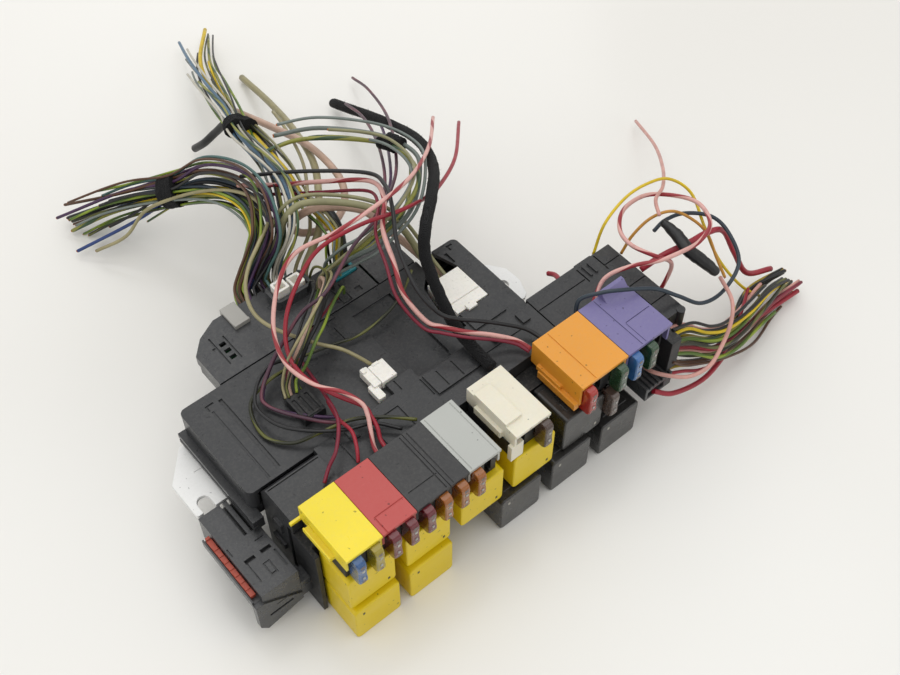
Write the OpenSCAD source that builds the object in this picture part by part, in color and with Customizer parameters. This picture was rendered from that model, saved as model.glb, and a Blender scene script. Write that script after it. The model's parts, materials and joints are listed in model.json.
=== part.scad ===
// Vehicle fuse and relay panel with its cut harness, modelled as separate pieces.
// The fuse row runs along X, the relays and fuses pull out toward -Y, and +Z is up.
// Inside the file every place is measured from the lower front left corner of the
// first relay; place() then moves the whole panel so the origin is under its middle.

/* [Relays] */
// Width and height of one relay case
relay_w = 28; // [27:0.5:28.5]
// Spacing of the relay columns in the upper row
relay_pitch = 35; // [34.5:0.5:35.5]
// How far a lower relay case stands out of its socket board
relay_depth = 28.5; // [26:0.5:29]
// How far the upper relays sit behind the lower ones
upper_setback = 2.5; // [2:0.5:4]
// Height of the underside of the upper relay row
upper_z = 30; // [29.5:0.25:30]

/* [Fuses] */
// Spacing of the fuses in the left group
fuse_pitch = 10.4; // [10.4:0.05:10.6]
// Spacing of the fuses in the right group
fuse_pitch_right = 10.9; // [10.8:0.05:11]
// Height of a blade fuse head
fuse_h = 19.1; // [18:0.1:19.1]
// Thickness of a blade fuse head
fuse_t = 5.1; // [4.6:0.1:5.1]

/* [Covers] */
// Height of the top of the coloured fuse covers
cover_top = 80.6; // [80:0.1:82]
// Front edge of the coloured fuse covers
cover_front = 2.2; // [1:0.1:3]
// Back edge of the coloured fuse covers
cover_back = 40; // [39:0.5:40]

/* [Body] */
// Height of the top of the tray
tray_top = 65; // [64:0.5:66]
// Back edge of the tray
tray_back = 131; // [128:1:134]
// Left face of the tray
tray_left = -10; // [-11:0.5:-9]
// Right face of the tray
tray_right = 173; // [170:1:175]
// Height of the top of the right end block
block_top = 66; // [65:0.5:67]
// Right face of the right end block
block_right = 235.6; // [232:0.2:236]

/* [Bracket] */
// Width of the open slot in the mounting bracket
bracket_slot_w = 7.5; // [6.5:0.5:8]
// Thickness of the mounting bracket
bracket_t = 2.5; // [2:0.1:3]

/* [Hidden] */

// Middle of the panel's overall box, without the cords
mid_x = 99.8;
mid_y = 84.1;

// Where the bracket is screwed to the tray
screw_places = [[16, 98], [16, 118], [168, 98], [168, 118]];

board_y = 29;
board_t = 14;
board_top = 58;
fuse_y = -2.8;
fuse_head_d = 8.3;
fuse_z = 59.3;
fuse_mid_z = fuse_z + fuse_h / 2;
socket_y = 6;
wall = 2;

upper_x = [for (i = [0:5]) 14 + relay_pitch * i];
lower_x = [14, 48.5, 79, 109.5, 145.5, 181.5];
left_fuse_x = [for (i = [0:8]) 6.2 + fuse_pitch * i];
cream_fuse_x = [112.4, 122.8];
right_fuse_x = [for (i = [0:5]) 153.4 + fuse_pitch_right * i];
aux_fuse_x = 171.5;
aux_fuse_z = 42.8;

// Relay terminals as [x, z, quarter turns], seen from the front
relay_pins = [[0, -8.5, 0], [0, 8.5, 0], [-8.5, 0, 1], [8.5, 0, 1], [0, 0, 0]];
pin_w = 6.3;
pin_t = 0.8;
pin_len = 11;
blade_w = 5.2;
blade_t = 0.65;
blade_len = 7.5;
blade_off = 6.65;

// Routes of the free wires: outer diameter, pieces between points, and the points by hand
left_wires = [
    // Left bundle: heavy black wire
    [4.4, 2, [[62, 169.5, 60], [64, 177, 64], [70, 179, 71], [78, 179, 81], [87, 184, 88],
        [95, 204, 86], [97, 233, 75], [90, 259, 64], [76, 279, 49], [57, 312, 26], [29, 340, 6]]],
    // blue wire
    [2.4, 3, [[67, 169.5, 57], [70, 179, 59], [78, 181, 67], [87, 183, 75], [94, 189, 81],
        [97, 212, 79], [94, 239, 67], [88, 263, 55], [78, 281, 41], [54, 297, 21], [20, 314, 4]]],
    // brown wire
    [2.2, 3, [[57, 169.5, 61], [59, 177, 65], [65, 179, 73], [73, 180, 83], [81, 183, 92],
        [92, 201, 96], [98, 229, 85], [94, 260, 70], [83, 281, 54], [59, 312, 32], [32, 348, 10]]],
    // green wire
    [2.8, 3, [[58, 169.5, 56], [61, 179, 58], [69, 184, 66], [78, 189, 74], [85, 196, 79],
        [90, 216, 77], [88, 247, 63], [73, 282, 41], [50, 313, 20], [26, 331, 4]]],
    // purple wire
    [2.2, 3, [[71, 169.5, 61], [72, 176, 66], [77, 175, 76], [83, 173, 87], [88, 176, 97],
        [95, 196, 102], [98, 226, 93], [92, 260, 75], [78, 280, 54], [59, 309, 36], [23, 343, 8]]],
    // Upper fan: heavy yellow wire
    [3.2, 4, [[107, 153.5, 62.5], [108, 154, 80], [112, 158, 89], [113, 167, 91], [114, 187, 89],
        [124, 223, 80], [131, 268, 68], [134, 299, 58], [148, 348, 42], [165, 389, 28], [196, 436, 8]]],
    // green wire
    [2.2, 3, [[76, 169.5, 57.5], [80, 176, 60], [85, 179, 70], [92, 180, 80], [97, 185, 87],
        [110, 210, 86], [119, 236, 81], [127, 270, 71], [141, 308, 59], [159, 358, 40], [169, 383, 30],
        [194, 429, 8]]],
    // blue wire
    [2.4, 4, [[80, 169.5, 60], [82, 174, 65], [86, 174, 76], [92, 172, 88], [98, 176, 96],
        [108, 197, 97], [115, 223, 89], [122, 268, 74], [135, 303, 62], [146, 348, 46], [159, 394, 28],
        [174, 436, 8]]],
    // thick black cable with a grey end
    [5.4, 2, [[112, 153.5, 62.5], [115, 157, 78], [119, 166, 84], [121, 179, 85], [119, 198, 80],
        [122, 223, 73], [133, 254, 67], [139, 282, 59], [138, 307, 48], [133, 320, 32], [127, 328, 20],
        [124, 339, 8]]],
    // thick olive cable
    [4.6, 2, [[91.5, 160.5, 57], [95, 167, 63], [104, 170, 73], [113, 175, 79], [127, 195, 75],
        [149, 232, 61], [166, 278, 43], [180, 329, 22], [190, 382, 3]]],
    // thick pink cable with one loop
    [4.6, 2, [[154.5, 113.5, 57], [153, 123, 60], [149, 130, 67], [144, 135, 76], [139, 140, 84],
        [136, 147, 90], [131, 159, 94], [121, 168, 96], [110, 175, 96], [103, 181, 89], [101, 185, 80],
        [107, 184, 71], [120, 182, 67], [132, 183, 69], [142, 191, 72], [150, 210, 70], [155, 245, 62],
        [153, 285, 50], [149, 329, 36]]],
    // cable wrapped in black cloth tape
    [7, 2, [[127, 46, 72.5], [127, 61, 74], [127, 75, 78], [128, 87, 87], [130, 98, 96],
        [133, 107, 104], [141, 116, 110], [159, 133, 107], [183, 161, 92], [204, 201, 69],
        [216, 249, 41], [222, 317, 6]]],
    // olive cable of the large white connector
    [4, 2, [[149, 113.5, 60], [148, 122, 65], [146, 127, 73], [143, 130, 84], [139, 133, 95],
        [135, 139, 102], [129, 149, 106], [118, 163, 106], [105, 176, 103], [95, 178, 98],
        [89, 177, 89], [84, 177, 80], [78, 177, 69], [74, 176, 58], [74, 172, 52]]],
    // pink wire to the right covers
    [3, 2, [[150.5, 42, 71.5], [147, 50, 74], [138, 58, 78], [127, 66, 82], [118, 75, 85],
        [113, 82, 87], [110, 96, 98], [115, 110, 107], [121, 126, 114], [135, 143, 114],
        [141, 164, 106], [125, 189, 96], [109, 207, 90], [95, 229, 81]]],
    // black wire to the right covers
    [2.6, 2, [[160, 42, 71.5], [156, 52, 74], [147, 60, 78], [136, 67, 83], [127, 73, 86],
        [119, 79, 92], [116, 93, 101], [121, 114, 113], [130, 129, 121], [139, 147, 118],
        [141, 167, 110], [119, 198, 101], [96, 226, 90]]],
    // green wire of the short taped group
    [3, 3, [[96, 152, 65.5], [98, 150, 76], [102, 144, 85], [108, 139, 93], [117, 135, 99],
        [139, 133, 109], [164, 150, 103], [176, 177, 93], [174, 205, 84], [146, 236, 80],
        [120, 246, 76]]],
    // grey wire of the short taped group
    [3, 3, [[100.5, 150, 65.5], [102, 148, 75], [107, 143, 83], [114, 138, 89], [123, 134, 94],
        [145, 134, 104], [171, 158, 96], [185, 181, 87], [183, 211, 79], [161, 241, 76],
        [137, 255, 74]]],
    // red and white wire to the black cover
    [2.6, 3, [[50, 41.5, 71.5], [51, 47, 73], [54, 53, 77], [57, 59, 81], [58, 65, 84], [54, 75, 86],
        [45, 87, 88], [41, 104, 91], [46, 120, 99], [61, 135, 109], [76, 139, 118], [96, 131, 126],
        [124, 131, 128], [157, 147, 113], [194, 178, 88], [232, 221, 56]]],
    // red wire to the black cover
    [2.6, 3, [[55, 41.5, 72], [56, 48, 73], [58, 53, 76], [59, 59, 78], [59, 65, 80], [52, 79, 81],
        [46, 96, 83], [47, 111, 87], [56, 124, 95], [71, 133, 104], [89, 138, 112], [112, 133, 118],
        [135, 129, 116], [162, 140, 99], [182, 152, 87], [213, 177, 68], [254, 222, 38]]],
    // long purple wire
    [2.2, 3, [[46, 70, 72], [41, 75, 72], [35, 83, 72], [29, 92, 72], [25, 101, 72], [26, 107, 74],
        [38, 115, 80], [53, 120, 88], [66, 123, 94], [81, 123, 98], [107, 134, 104], [126, 138, 109],
        [145, 151, 105], [171, 179, 89], [213, 242, 51], [237, 295, 24], [248, 330, 5]]],
    // short purple wire
    [2.2, 4, [[131, 148, 96], [144, 156, 96], [165, 183, 84], [187, 220, 66], [206, 260, 44],
        [217, 295, 24]]],
    // beige wire of the small header
    [2.4, 2, [[82.5, 88.5, 68], [78, 93, 74], [73, 103, 76], [64, 114, 78], [53, 133, 80],
        [50, 147, 82], [54, 159, 87], [63, 168, 91], [75, 176, 93], [89, 187, 94], [93, 209, 89],
        [90, 236, 75], [79, 262, 58], [61, 286, 37], [45, 290, 21], [28, 303, 8]]],
    // thin wire that lies on the tray
    [1.8, 2, [[131.5, 116.5, 82], [120, 112, 74], [106, 109, 70], [89, 109, 68], [74, 113, 68],
        [57, 117, 68]]],
    // olive loop on the tray
    [2.2, 2, [[77.5, 46, 72], [66, 56, 74], [52, 65, 75], [36, 71, 72], [23, 77, 68], [15, 89, 67],
        [17, 104, 68], [23, 111, 70], [35, 112, 74], [45, 113, 72]]],
    // green loop on the tray
    [2.2, 2, [[68.5, 46.5, 72], [59, 57, 74], [45, 63, 75], [31, 74, 75], [22, 88, 73], [20, 103, 73],
        [27, 112, 76], [39, 119, 74], [49, 119, 71]]],
    // red wire to the yellow cover
    [2.2, 2, [[20, 46, 73], [26, 50, 76], [34, 54, 80], [44, 66, 82], [49, 83, 78], [53, 103, 72],
        [55, 115, 70]]],
    // red wire to the red cover
    [2.2, 2, [[39.5, 44.5, 73], [43, 50, 77], [46, 58, 79], [46, 69, 77], [50, 84, 72]]],
    // first wire of the terminal block
    [2.6, 2, [[38.5, 99.5, 68], [41, 105, 72], [47, 108, 81], [55, 110, 90], [64, 115, 94],
        [84, 131, 90], [90, 139, 85], [92, 146, 78], [92, 148, 67]]],
    // second wire of the terminal block
    [2.6, 2, [[43.5, 99.5, 68], [46, 106, 72], [52, 108, 79], [60, 111, 87], [69, 116, 88],
        [78, 124, 86], [87, 133, 81], [95, 141, 75], [98, 144, 67]]]
];

right_wires = [
    // Right bundle: heavy yellow wire
    [4.2, 2, [[218.5, 6, 59.5], [234, 6, 54], [246, 1, 46], [261, -1, 39], [284, 1, 33], [312, 7, 25],
        [334, 10, 14]]],
    // heavy green wire
    [4.8, 2, [[218.5, 6, 54], [235, 4, 46], [249, -2, 39], [266, -2, 32], [290, 3, 26], [318, 11, 16],
        [341, 16, 3]]],
    // heavy red wire
    [4.4, 2, [[218.5, 6, 48.5], [235, 3, 39], [249, -3, 32], [266, -4, 27], [286, -1, 22],
        [313, 4, 16], [343, 6, 9]]],
    // olive wire
    [2.4, 3, [[218.5, 8.5, 44.5], [235, 2, 33], [249, -3, 28], [265, -4, 22], [286, 0, 17],
        [308, 5, 13], [342, 11, 6]]],
    // brown wire
    [2.4, 3, [[218.5, 3.5, 44.5], [229, 1, 33], [246, -4, 26], [265, -4, 18], [287, -1, 10],
        [313, 5, 3], [339, 7, 2]]],
    // heavy black wire
    [5, 2, [[219, 5, 33], [230, 4, 28], [241, 1, 22], [251, 0, 18], [268, 2, 20], [285, 9, 23],
        [307, 17, 20], [336, 15, 17]]],
    // pink wire of the ribbed plug
    [2.6, 2, [[206, 13, 40.5], [204, 2, 46], [209, -7, 47], [218, -13, 45], [231, -15, 45],
        [243, -12, 50], [254, -7, 57], [262, 1, 62], [269, 16, 62]]],
    // red wire of the ribbed plug
    [3.4, 2, [[203, -2.5, 33], [216, -7, 24], [240, -8, 16], [264, -3, 12], [288, 4, 10], [310, 4, 9],
        [340, 4, 5]]],
    // shrink sleeve over the pink wire
    [8, 2, [[265.5, 16.5, 68], [262, 23, 73], [258, 33, 78], [259, 44, 81], [259, 54, 82]]],
    // pink wire beyond the sleeve
    [2.4, 5, [[256.5, 55.5, 88], [262, 64, 90], [277, 72, 84], [302, 93, 66], [335, 127, 38],
        [369, 172, 5]]],
    // blue-grey wire over the purple cover
    [2.6, 2, [[182, 42, 73], [186, 44, 82], [194, 38, 87], [203, 32, 88], [223, 25, 80], [236, 18, 70],
        [249, 11, 60], [266, 10, 58], [284, 16, 63], [291, 31, 69], [290, 44, 73], [278, 54, 76],
        [265, 57, 77], [255, 56, 76]]],
    // red wire that loops behind the end block
    [2.8, 2, [[196, 43.5, 67.5], [210, 49, 76], [223, 43, 82], [236, 35, 84], [248, 30, 87],
        [256, 26, 93], [268, 30, 95], [278, 46, 90], [277, 61, 85], [267, 75, 81], [252, 77, 78],
        [239, 67, 79], [236, 55, 79], [241, 42, 78], [248, 37, 73], [250, 36, 67], [248, 36, 59],
        [244, 36, 52], [238, 36, 50]]],
    // red wire of the end block
    [3.6, 2, [[239, 48, 62], [251, 44, 69], [265, 38, 75], [279, 37, 74], [294, 37, 64], [300, 30, 47],
        [308, 23, 29], [331, 21, 17]]],
    // thin yellow wire in a wide arc
    [2, 3, [[226.5, 73, 62], [236, 76, 78], [253, 78, 86], [268, 76, 89], [283, 73, 85], [291, 62, 77],
        [285, 44, 68], [284, 29, 54], [295, 16, 33], [317, 11, 9]]],
    // thin orange wire
    [2, 2, [[239, 63.5, 62], [246, 63, 73], [257, 61, 81], [268, 56, 83], [276, 48, 78], [281, 39, 70],
        [280, 28, 59], [278, 18, 52]]],
    // short red stub behind the end block
    [3.4, 2, [[206, 72, 50], [208, 79, 48], [211, 86, 44], [211, 92, 40]]]
];

module place() {
    translate([-mid_x, -mid_y, 0]) children();
}

// Box from corner p with its four upright edges rounded by r
module post(p, s, r) {
    translate([p[0], p[1], p[2]])
        linear_extrude(s[2])
            translate([r, r])
                offset(r = r, $fn = 24)
                    square([s[0] - 2 * r, s[1] - 2 * r]);
}

module block(p, s) {
    translate(p) cube(s);
}

// A groove cut along the top face
module groove(p, length, width, depth, along_y) {
    block([p[0], p[1], p[2] - depth], along_y ? [width, length, depth + 1] : [length, width, depth + 1]);
}

// ---- relays ----

module relay_terminal(cx, cz, pin, y0, w, t, len) {
    turn = pin[2] == 1;
    block([cx + pin[0] - (turn ? t : w) / 2, y0, cz + pin[1] - (turn ? w : t) / 2],
        [turn ? t : w, len, turn ? w : t]);
}

module relay(cx, z0, front) {
    cz = z0 + relay_w / 2;
    back = relay_depth;
    base_d = 3;
    lip = 0.8;
    post([cx - relay_w / 2, front, z0], [relay_w, back - base_d - front, relay_w], 2);
    block([cx - relay_w / 2 + lip, back - base_d - 3, z0 + lip],
        [relay_w - 2 * lip, base_d + 3, relay_w - 2 * lip]);
    block([cx - 9, front + 5, z0 + relay_w - 0.4], [18, 6, 0.8]);
    for (pin = relay_pins) {
        relay_terminal(cx, cz, pin, back - 0.5, pin_w, pin_t, pin_len + 0.5);
    }
}

module relay_slots(cx, z0) {
    for (pin = relay_pins) {
        relay_terminal(cx, z0 + relay_w / 2, pin, board_y - 1, 7.5, 2.8, board_t - 1);
    }
}

// A folded contact that grips one relay terminal
module relay_contact(cx, z0, pin) {
    difference() {
        relay_terminal(cx, z0 + relay_w / 2, pin, board_y + 1, 7.1, 2.4, 10.8);
        relay_terminal(cx, z0 + relay_w / 2, pin, board_y, 6.5, 1.0, 11);
    }
}

// ---- fuses ----

module fuse_profile(extra) {
    half = fuse_h / 2 + extra;
    bevel = 2.4;
    deep = fuse_head_d;
    polygon([[0, -half + bevel], [bevel * 0.8, -half], [deep - 1.5, -half], [deep, -half + 0.8],
        [deep, half - 0.8], [deep - 1.5, half], [bevel * 0.8, half], [0, half - bevel]]);
}

module fuse(cx, z_mid) {
    translate([cx - fuse_t / 2, fuse_y, z_mid])
        rotate([90, 0, 90])
            linear_extrude(fuse_t) fuse_profile(0);
    block([cx - 1.9, fuse_y + fuse_head_d - 0.5, z_mid - 7], [3.8, 3, 14]);
    for (side = [-1, 1]) {
        block([cx - blade_t / 2, fuse_y + fuse_head_d - 0.5, z_mid + side * blade_off - blade_w / 2],
            [blade_t, 3 + blade_len, blade_w]);
        block([cx - 0.9, fuse_y - 0.35, z_mid + side * 3.2 - 0.9], [1.8, 0.7, 1.8]);
    }
}

module fuse_pocket(cx, z_mid) {
    block([cx - 2.2, socket_y - 1, z_mid - 7.4], [4.4, 4, 14.8]);
    for (side = [-1, 1]) {
        block([cx - 1.2, socket_y - 1, z_mid + side * blade_off - 3.1], [2.4, 13, 6.2]);
    }
}

module fuse_contact(cx, z_mid, side) {
    z0 = z_mid + side * blade_off;
    difference() {
        block([cx - 1.05, socket_y + 3.4, z0 - 2.95], [2.1, 8, 5.9]);
        block([cx - blade_t / 2 - 0.1, socket_y + 3, z0 - 2.7], [blade_t + 0.2, 8, 5.4]);
    }
}

// ---- body ----

module tray_outline(inset) {
    corner = 3.5;
    offset(r = corner, $fn = 32)
        translate([tray_left + corner + inset, 68 + corner])
            square([tray_right - tray_left - 2 * corner - 2 * inset, tray_back - 68 - 2 * corner - inset]);
}

module tray_base() {
    color("#1d1e20")
    place() {
        difference() {
            union() {
                block([tray_left + 1, 69, 42], [tray_right - tray_left - 2, tray_back - 70, 8]);
                // double rail that runs down the left side
                block([tray_left - 4, 62, 42], [6, tray_back - 63, 2.8]);
                block([tray_left - 4, 62, 46.6], [6, tray_back - 63, 3.4]);
                block([tray_left - 1.6, 62, 42], [4, tray_back - 63, 8]);
                block([tray_right - 2, 76, 43], [4, tray_back - 84, 6]);
            }
            block([tray_left + 4, 72, 44], [tray_right - tray_left - 8, tray_back - 76, 10]);
            for (p = screw_places) {
                translate([p[0], p[1], 40]) cylinder(d = 3.2, h = 6, $fn = 32);
            }
        }
        // ribs that stiffen the floor
        for (x = [30, 70, 110, 150]) {
            block([x, 72, 43], [1.6, tray_back - 76, 4.5]);
        }
    }
}

module tray_cover() {
    color("#26272a")
    place() {
        difference() {
            union() {
                translate([0, 0, 50.2]) linear_extrude(tray_top - 50.2) tray_outline(0);
                // low step in front of the large connector
                block([139.6, 73, tray_top - 0.5], [21.6, 13.4, 1.7]);
            }
            translate([0, 0, 49]) linear_extrude(13.4) tray_outline(wall);
            // opening at the back where the harness and the large connector enter
            translate([0, 0, 40])
                linear_extrude(40)
                    polygon([[145.6, 140], [145.6, 122], [136.6, 113], [130, 80], [138, 79], [138.6, 86.6],
                        [161.2, 86.6], [161.2, 114], [156.6, 130], [156.6, 140]]);
            // sunken middle of the top
            block([95, 62, tray_top - 1.2], [24.6, 61, 4]);
            groove([119.4, 72, tray_top], 51, 1, 2.2, true);
            // long groove and shallow side channel
            groove([9.5, 72, tray_top], 52, 2.2, 1.1, true);
            groove([3, 70, tray_top], 50, 1.2, 0.5, true);
            groove([82.6, 112, tray_top], 11, 0.7, 0.8, true);
            groove([62, 124, tray_top], 7, 0.7, 0.8, true);
            groove([60, 124, tray_top], 7, 0.7, 0.8, false);
            groove([80.6, 128, tray_top], 7, 1, 0.8, false);
            groove([80.6, 126, tray_top], 3, 1, 0.8, true);
            groove([2, 124, tray_top], 5, 1, 0.8, false);
            groove([2, 121, tray_top], 4, 1, 0.8, true);
            groove([160.4, 117, tray_top], 8, 2, 1.2, true);
            groove([165, 125, tray_top], 4, 1.2, 1, true);
            groove([165, 127.6, tray_top], 4, 1.2, 1, false);
        }
        // snap latches along the back edge
        for (x = [8, 52]) {
            block([x, tray_back - 1.5, 52], [7, 2.3, 9]);
        }
    }
}

module module_outline(inset) {
    offset(delta = -inset)
        polygon([[16, 131.9], [16, 154.5], [24, 163], [36, 169], [88, 169], [88, 160], [145, 160],
            [145, 131.9]]);
}

module module_base() {
    color("#202124")
    place() {
        difference() {
            translate([0, 0, 50.4]) linear_extrude(8) module_outline(0.8);
            translate([0, 0, 52.4]) linear_extrude(8) module_outline(2.8);
        }
        for (p = [[30, 140], [80, 140], [60, 162]]) {
            translate([p[0], p[1], 51]) cylinder(d = 5, h = 3.4, $fn = 32);
        }
    }
}

module module_cover() {
    color("#2b2c2f")
    place() {
        difference() {
            translate([0, 0, 58.6]) linear_extrude(tray_top - 58.6) module_outline(0);
            translate([0, 0, 57]) linear_extrude(6) module_outline(2);
            // pressed slots beside the vent
            groove([27, 139, tray_top], 21, 0.9, 1, true);
            groove([34, 139, tray_top], 18, 0.9, 1, true);
            groove([25, 151, tray_top], 2, 2, 1, true);
            for (y = [141, 146, 151]) {
                block([29.5, y, 60], [3.6, 2.6, 10]);
            }
            // outline of the rear latch tongues
            groove([96.6, 132.6, tray_top], 13, 0.8, 0.8, true);
            groove([102, 132.6, tray_top], 13, 0.8, 0.8, true);
            groove([96.6, 132.6, tray_top], 6, 0.8, 0.8, false);
            groove([119.2, 131, tray_top], 19, 1.4, 2.2, true);
            groove([107.6, 134.6, tray_top], 3.6, 3.6, 1, true);
            // seat of the teal insert
            block([102.4, 147.4, 60], [15.2, 14, 10]);
        }
        // raised cable guide where the bundle leaves
        difference() {
            post([66, 150, tray_top - 0.5], [24, 14, 8], 4);
            block([68, 152, tray_top], [20, 14, 10]);
        }
    }
}

module circuit_board() {
    color("#2f6b45")
    place() {
        difference() {
            translate([0, 0, 54.6]) linear_extrude(1.6) module_outline(4);
            for (p = [[30, 140], [80, 140], [60, 162]]) {
                translate([p[0], p[1], 50]) cylinder(d = 2.6, h = 8, $fn = 24);
            }
        }
        for (x = [36 : 12 : 72]) {
            block([x, 148, 56.2], [8, 6, 1.8]);
        }
    }
}

module underside_housing() {
    color("#18191b")
    place() {
        difference() {
            post([24, 74, 0], [138, 50, 36], 3);
            block([27, 77, -1], [132, 44, 3.6]);
        }
        for (x = [50, 92, 134]) {
            block([x, 76, 0], [2, 46, 4]);
        }
    }
}

module socket_board() {
    color("#1b1c1e")
    place() {
        difference() {
            union() {
                block([-4, board_y, 1.5], [216, board_t, board_top - 1.5]);
                // partitions between the columns, behind the relay cases
                for (i = [0:3]) {
                    block([upper_x[i] + relay_pitch / 2 - 2, board_y - 5, upper_z + 1], [4, 6, 26]);
                }
                block([-4, board_y - 6, 1.5], [2.5, 7, board_top - 1.5]);
                // holder of the single fuse between two relay columns
                block([aux_fuse_x - 2.8, socket_y + 0.4, aux_fuse_z - 0.5], [5.6, board_y - socket_y, 14]);
                block([aux_fuse_x - 2.8, 17, aux_fuse_z - 0.5], [5.6, board_y - 16, 14]);
            }
            for (x = upper_x) {
                relay_slots(x, upper_z);
            }
            for (x = lower_x) {
                relay_slots(x, 0);
            }
            fuse_pocket(aux_fuse_x, aux_fuse_z + 6.5);
            // relief behind the board
            for (x = upper_x) {
                block([x - 12, board_y + board_t - 1.5, 4], [24, 3, 50]);
            }
        }
    }
}

module socket_segment(x0, x1) {
    block([x0 + 1.6, socket_y, 69.4], [x1 - x0 - 3.2, cover_back - socket_y - 1.7, 9]);
}

module fuse_sockets() {
    color("#17181a")
    place() {
        difference() {
            union() {
                block([1.6, socket_y, 58.6], [93.2, cover_back - socket_y - 1.7, 11]);
                block([104.4, socket_y + 0.5, 58.6], [23.2, cover_back - socket_y - 2.2, 11]);
                block([150.8, socket_y, 58.6], [60.8, cover_back - socket_y - 1.7, 11]);
                for (c = cover_spans) {
                    socket_segment(c[0], c[1]);
                }
            }
            for (x = left_fuse_x) {
                fuse_pocket(x, fuse_mid_z);
            }
            for (x = cream_fuse_x) {
                fuse_pocket(x, fuse_mid_z);
            }
            for (x = right_fuse_x) {
                fuse_pocket(x, fuse_mid_z);
            }
            // room for the upper contact of the single fuse
            fuse_pocket(aux_fuse_x, aux_fuse_z + 6.5);
        }
    }
}

module contact_sleeves() {
    color("#c9a24a")
    place() {
        for (x = upper_x) {
            for (pin = relay_pins) {
                relay_contact(x, upper_z, pin);
            }
        }
        for (x = lower_x) {
            for (pin = relay_pins) {
                relay_contact(x, 0, pin);
            }
        }
        for (x = concat(left_fuse_x, cream_fuse_x, right_fuse_x)) {
            for (side = [-1, 1]) {
                fuse_contact(x, fuse_mid_z, side);
            }
        }
        for (side = [-1, 1]) {
            fuse_contact(aux_fuse_x, aux_fuse_z + 6.5, side);
        }
    }
}

module busbar() {
    color("#b8863b")
    place() {
        block([4, board_y + board_t + 0.6, 20], [200, 1.2, 12]);
        for (x = [30, 100, 170]) {
            block([x, board_y + board_t, 24], [6, 0.7, 4]);
        }
    }
}

module left_block() {
    color("#242528")
    place() {
        difference() {
            union() {
                block([-4, board_y + board_t + 3, 8], [32, 21, 54]);
                // sloped back of the raised top
                translate([-4, 0, 0])
                    rotate([90, 0, 90])
                        linear_extrude(32)
                            polygon([[cover_back + 0.5, 59], [67, 59], [67, 63.5], [62, 71], [cover_back + 0.5, 71]]);
            }
            groove([-3, 60.5, 71], 30, 0.7, 0.8, false);
        }
        // clip hooks on the left face
        block([-5.6, 50, 30], [2, 10, 4]);
        block([-5.6, 50, 46], [2, 6, 8]);
    }
}

module middle_cover() {
    color("#2a2b2e")
    place() {
        difference() {
            union() {
                block([28.6, cover_back + 0.5, 59], [142.8, 27, 9.5]);
                block([97, 52, 66], [28, 14, 4]);
                // tongue that holds the small header down
                block([80, 66, 65.2], [16, 9, 3.3]);
            }
            block([31, cover_back + 3, 57], [138, 22, 4.6]);
            groove([40, 46, 68.5], 20, 0.8, 0.8, true);
            groove([58, 44, 68.5], 16, 0.8, 0.8, true);
            groove([58, 60, 68.5], 18.8, 0.8, 0.8, false);
            groove([76, 42, 68.5], 18.8, 0.8, 0.8, true);
            groove([95, 54, 68.5], 12, 0.8, 0.8, true);
            groove([130, 42, 68.5], 20, 0.8, 0.8, true);
            groove([130, 56, 68.5], 30, 0.8, 0.8, false);
            groove([104, 53, 70], 11, 0.8, 0.8, true);
            groove([114, 53, 70], 11, 0.8, 0.8, true);
            groove([84, 67, 68.5], 7, 0.8, 0.8, true);
        }
        for (x = [46, 140, 160]) {
            block([x, 58, 68.3], [5, 7, 1.8]);
        }
    }
}

module right_block() {
    color("#2a2b2e")
    place() {
        difference() {
            union() {
                block([173.6, 44, 40], [block_right - 173.6, 27, block_top - 40]);
                block([173.6, cover_back + 0.5, 60], [block_right - 173.6, 10, block_top - 60]);
                // arm that reaches forward beside the covers
                block([213.8, 12.6, 56], [block_right - 213.8, 32, block_top - 56]);
                block([block_right - 2.4, 12.6, 44], [2.4, 32, 14]);
                translate([block_right - 2.6, 12.4, 55]) cylinder(d = 5, h = 11.6, $fn = 40);
            }
            block([176, 46, 38], [block_right - 178.4, 22.6, 4.6]);
            groove([174, 60.4, block_top], 34, 0.8, 0.9, false);
            groove([208.6, 58, block_top], 10.6, 0.9, 1, true);
            groove([222.8, 58, block_top], 12, 0.9, 1, true);
            groove([223.6, 60.8, block_top], 11, 0.8, 0.9, false);
            groove([223.2, 41, block_top], 12, 0.9, 1, false);
            groove([222.4, 24.6, block_top], 12.6, 0.9, 1, false);
            groove([222.4, 25, block_top], 12, 0.9, 1, true);
        }
        // latch tongues on the back edge
        block([210, 70.6, 56], [12, 1.2, block_top - 56.4]);
        for (x = [212, 216]) {
            block([x, 60, block_top - 0.2], [1.4, 8, 1.4]);
        }
    }
}

module right_end_housing() {
    color("#1c1b20")
    place() {
        difference() {
            block([213.8, -0.4, 39.2], [7.4, 12.4, 24.8]);
            block([217.6, 1.2, 40.2], [9, 9.2, 22.2]);
        }
    }
}

module right_plug() {
    color("#2c2d2f")
    place() {
        difference() {
            block([196.8, -2.5, 28.8], [20, 31.5, 10.2]);
            for (i = [0:5]) {
                groove([198.6 + i * 3.1, -3, 39], 11.5, 1.3, 1.4, true);
            }
            block([198.6, -3.5, 30.4], [12, 8, 5]);
        }
        block([216.4, 1, 30], [2, 8, 6]);
    }
}

module bracket_outline() {
    polygon([[-15.5, 130], [-31, 112.5], [-31, 89], [-8, 89], [-8, 88], [190, 88], [193, 90],
        [196.5, 100], [196, 111], [190, 119.5], [176, 130]]);
}

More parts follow.
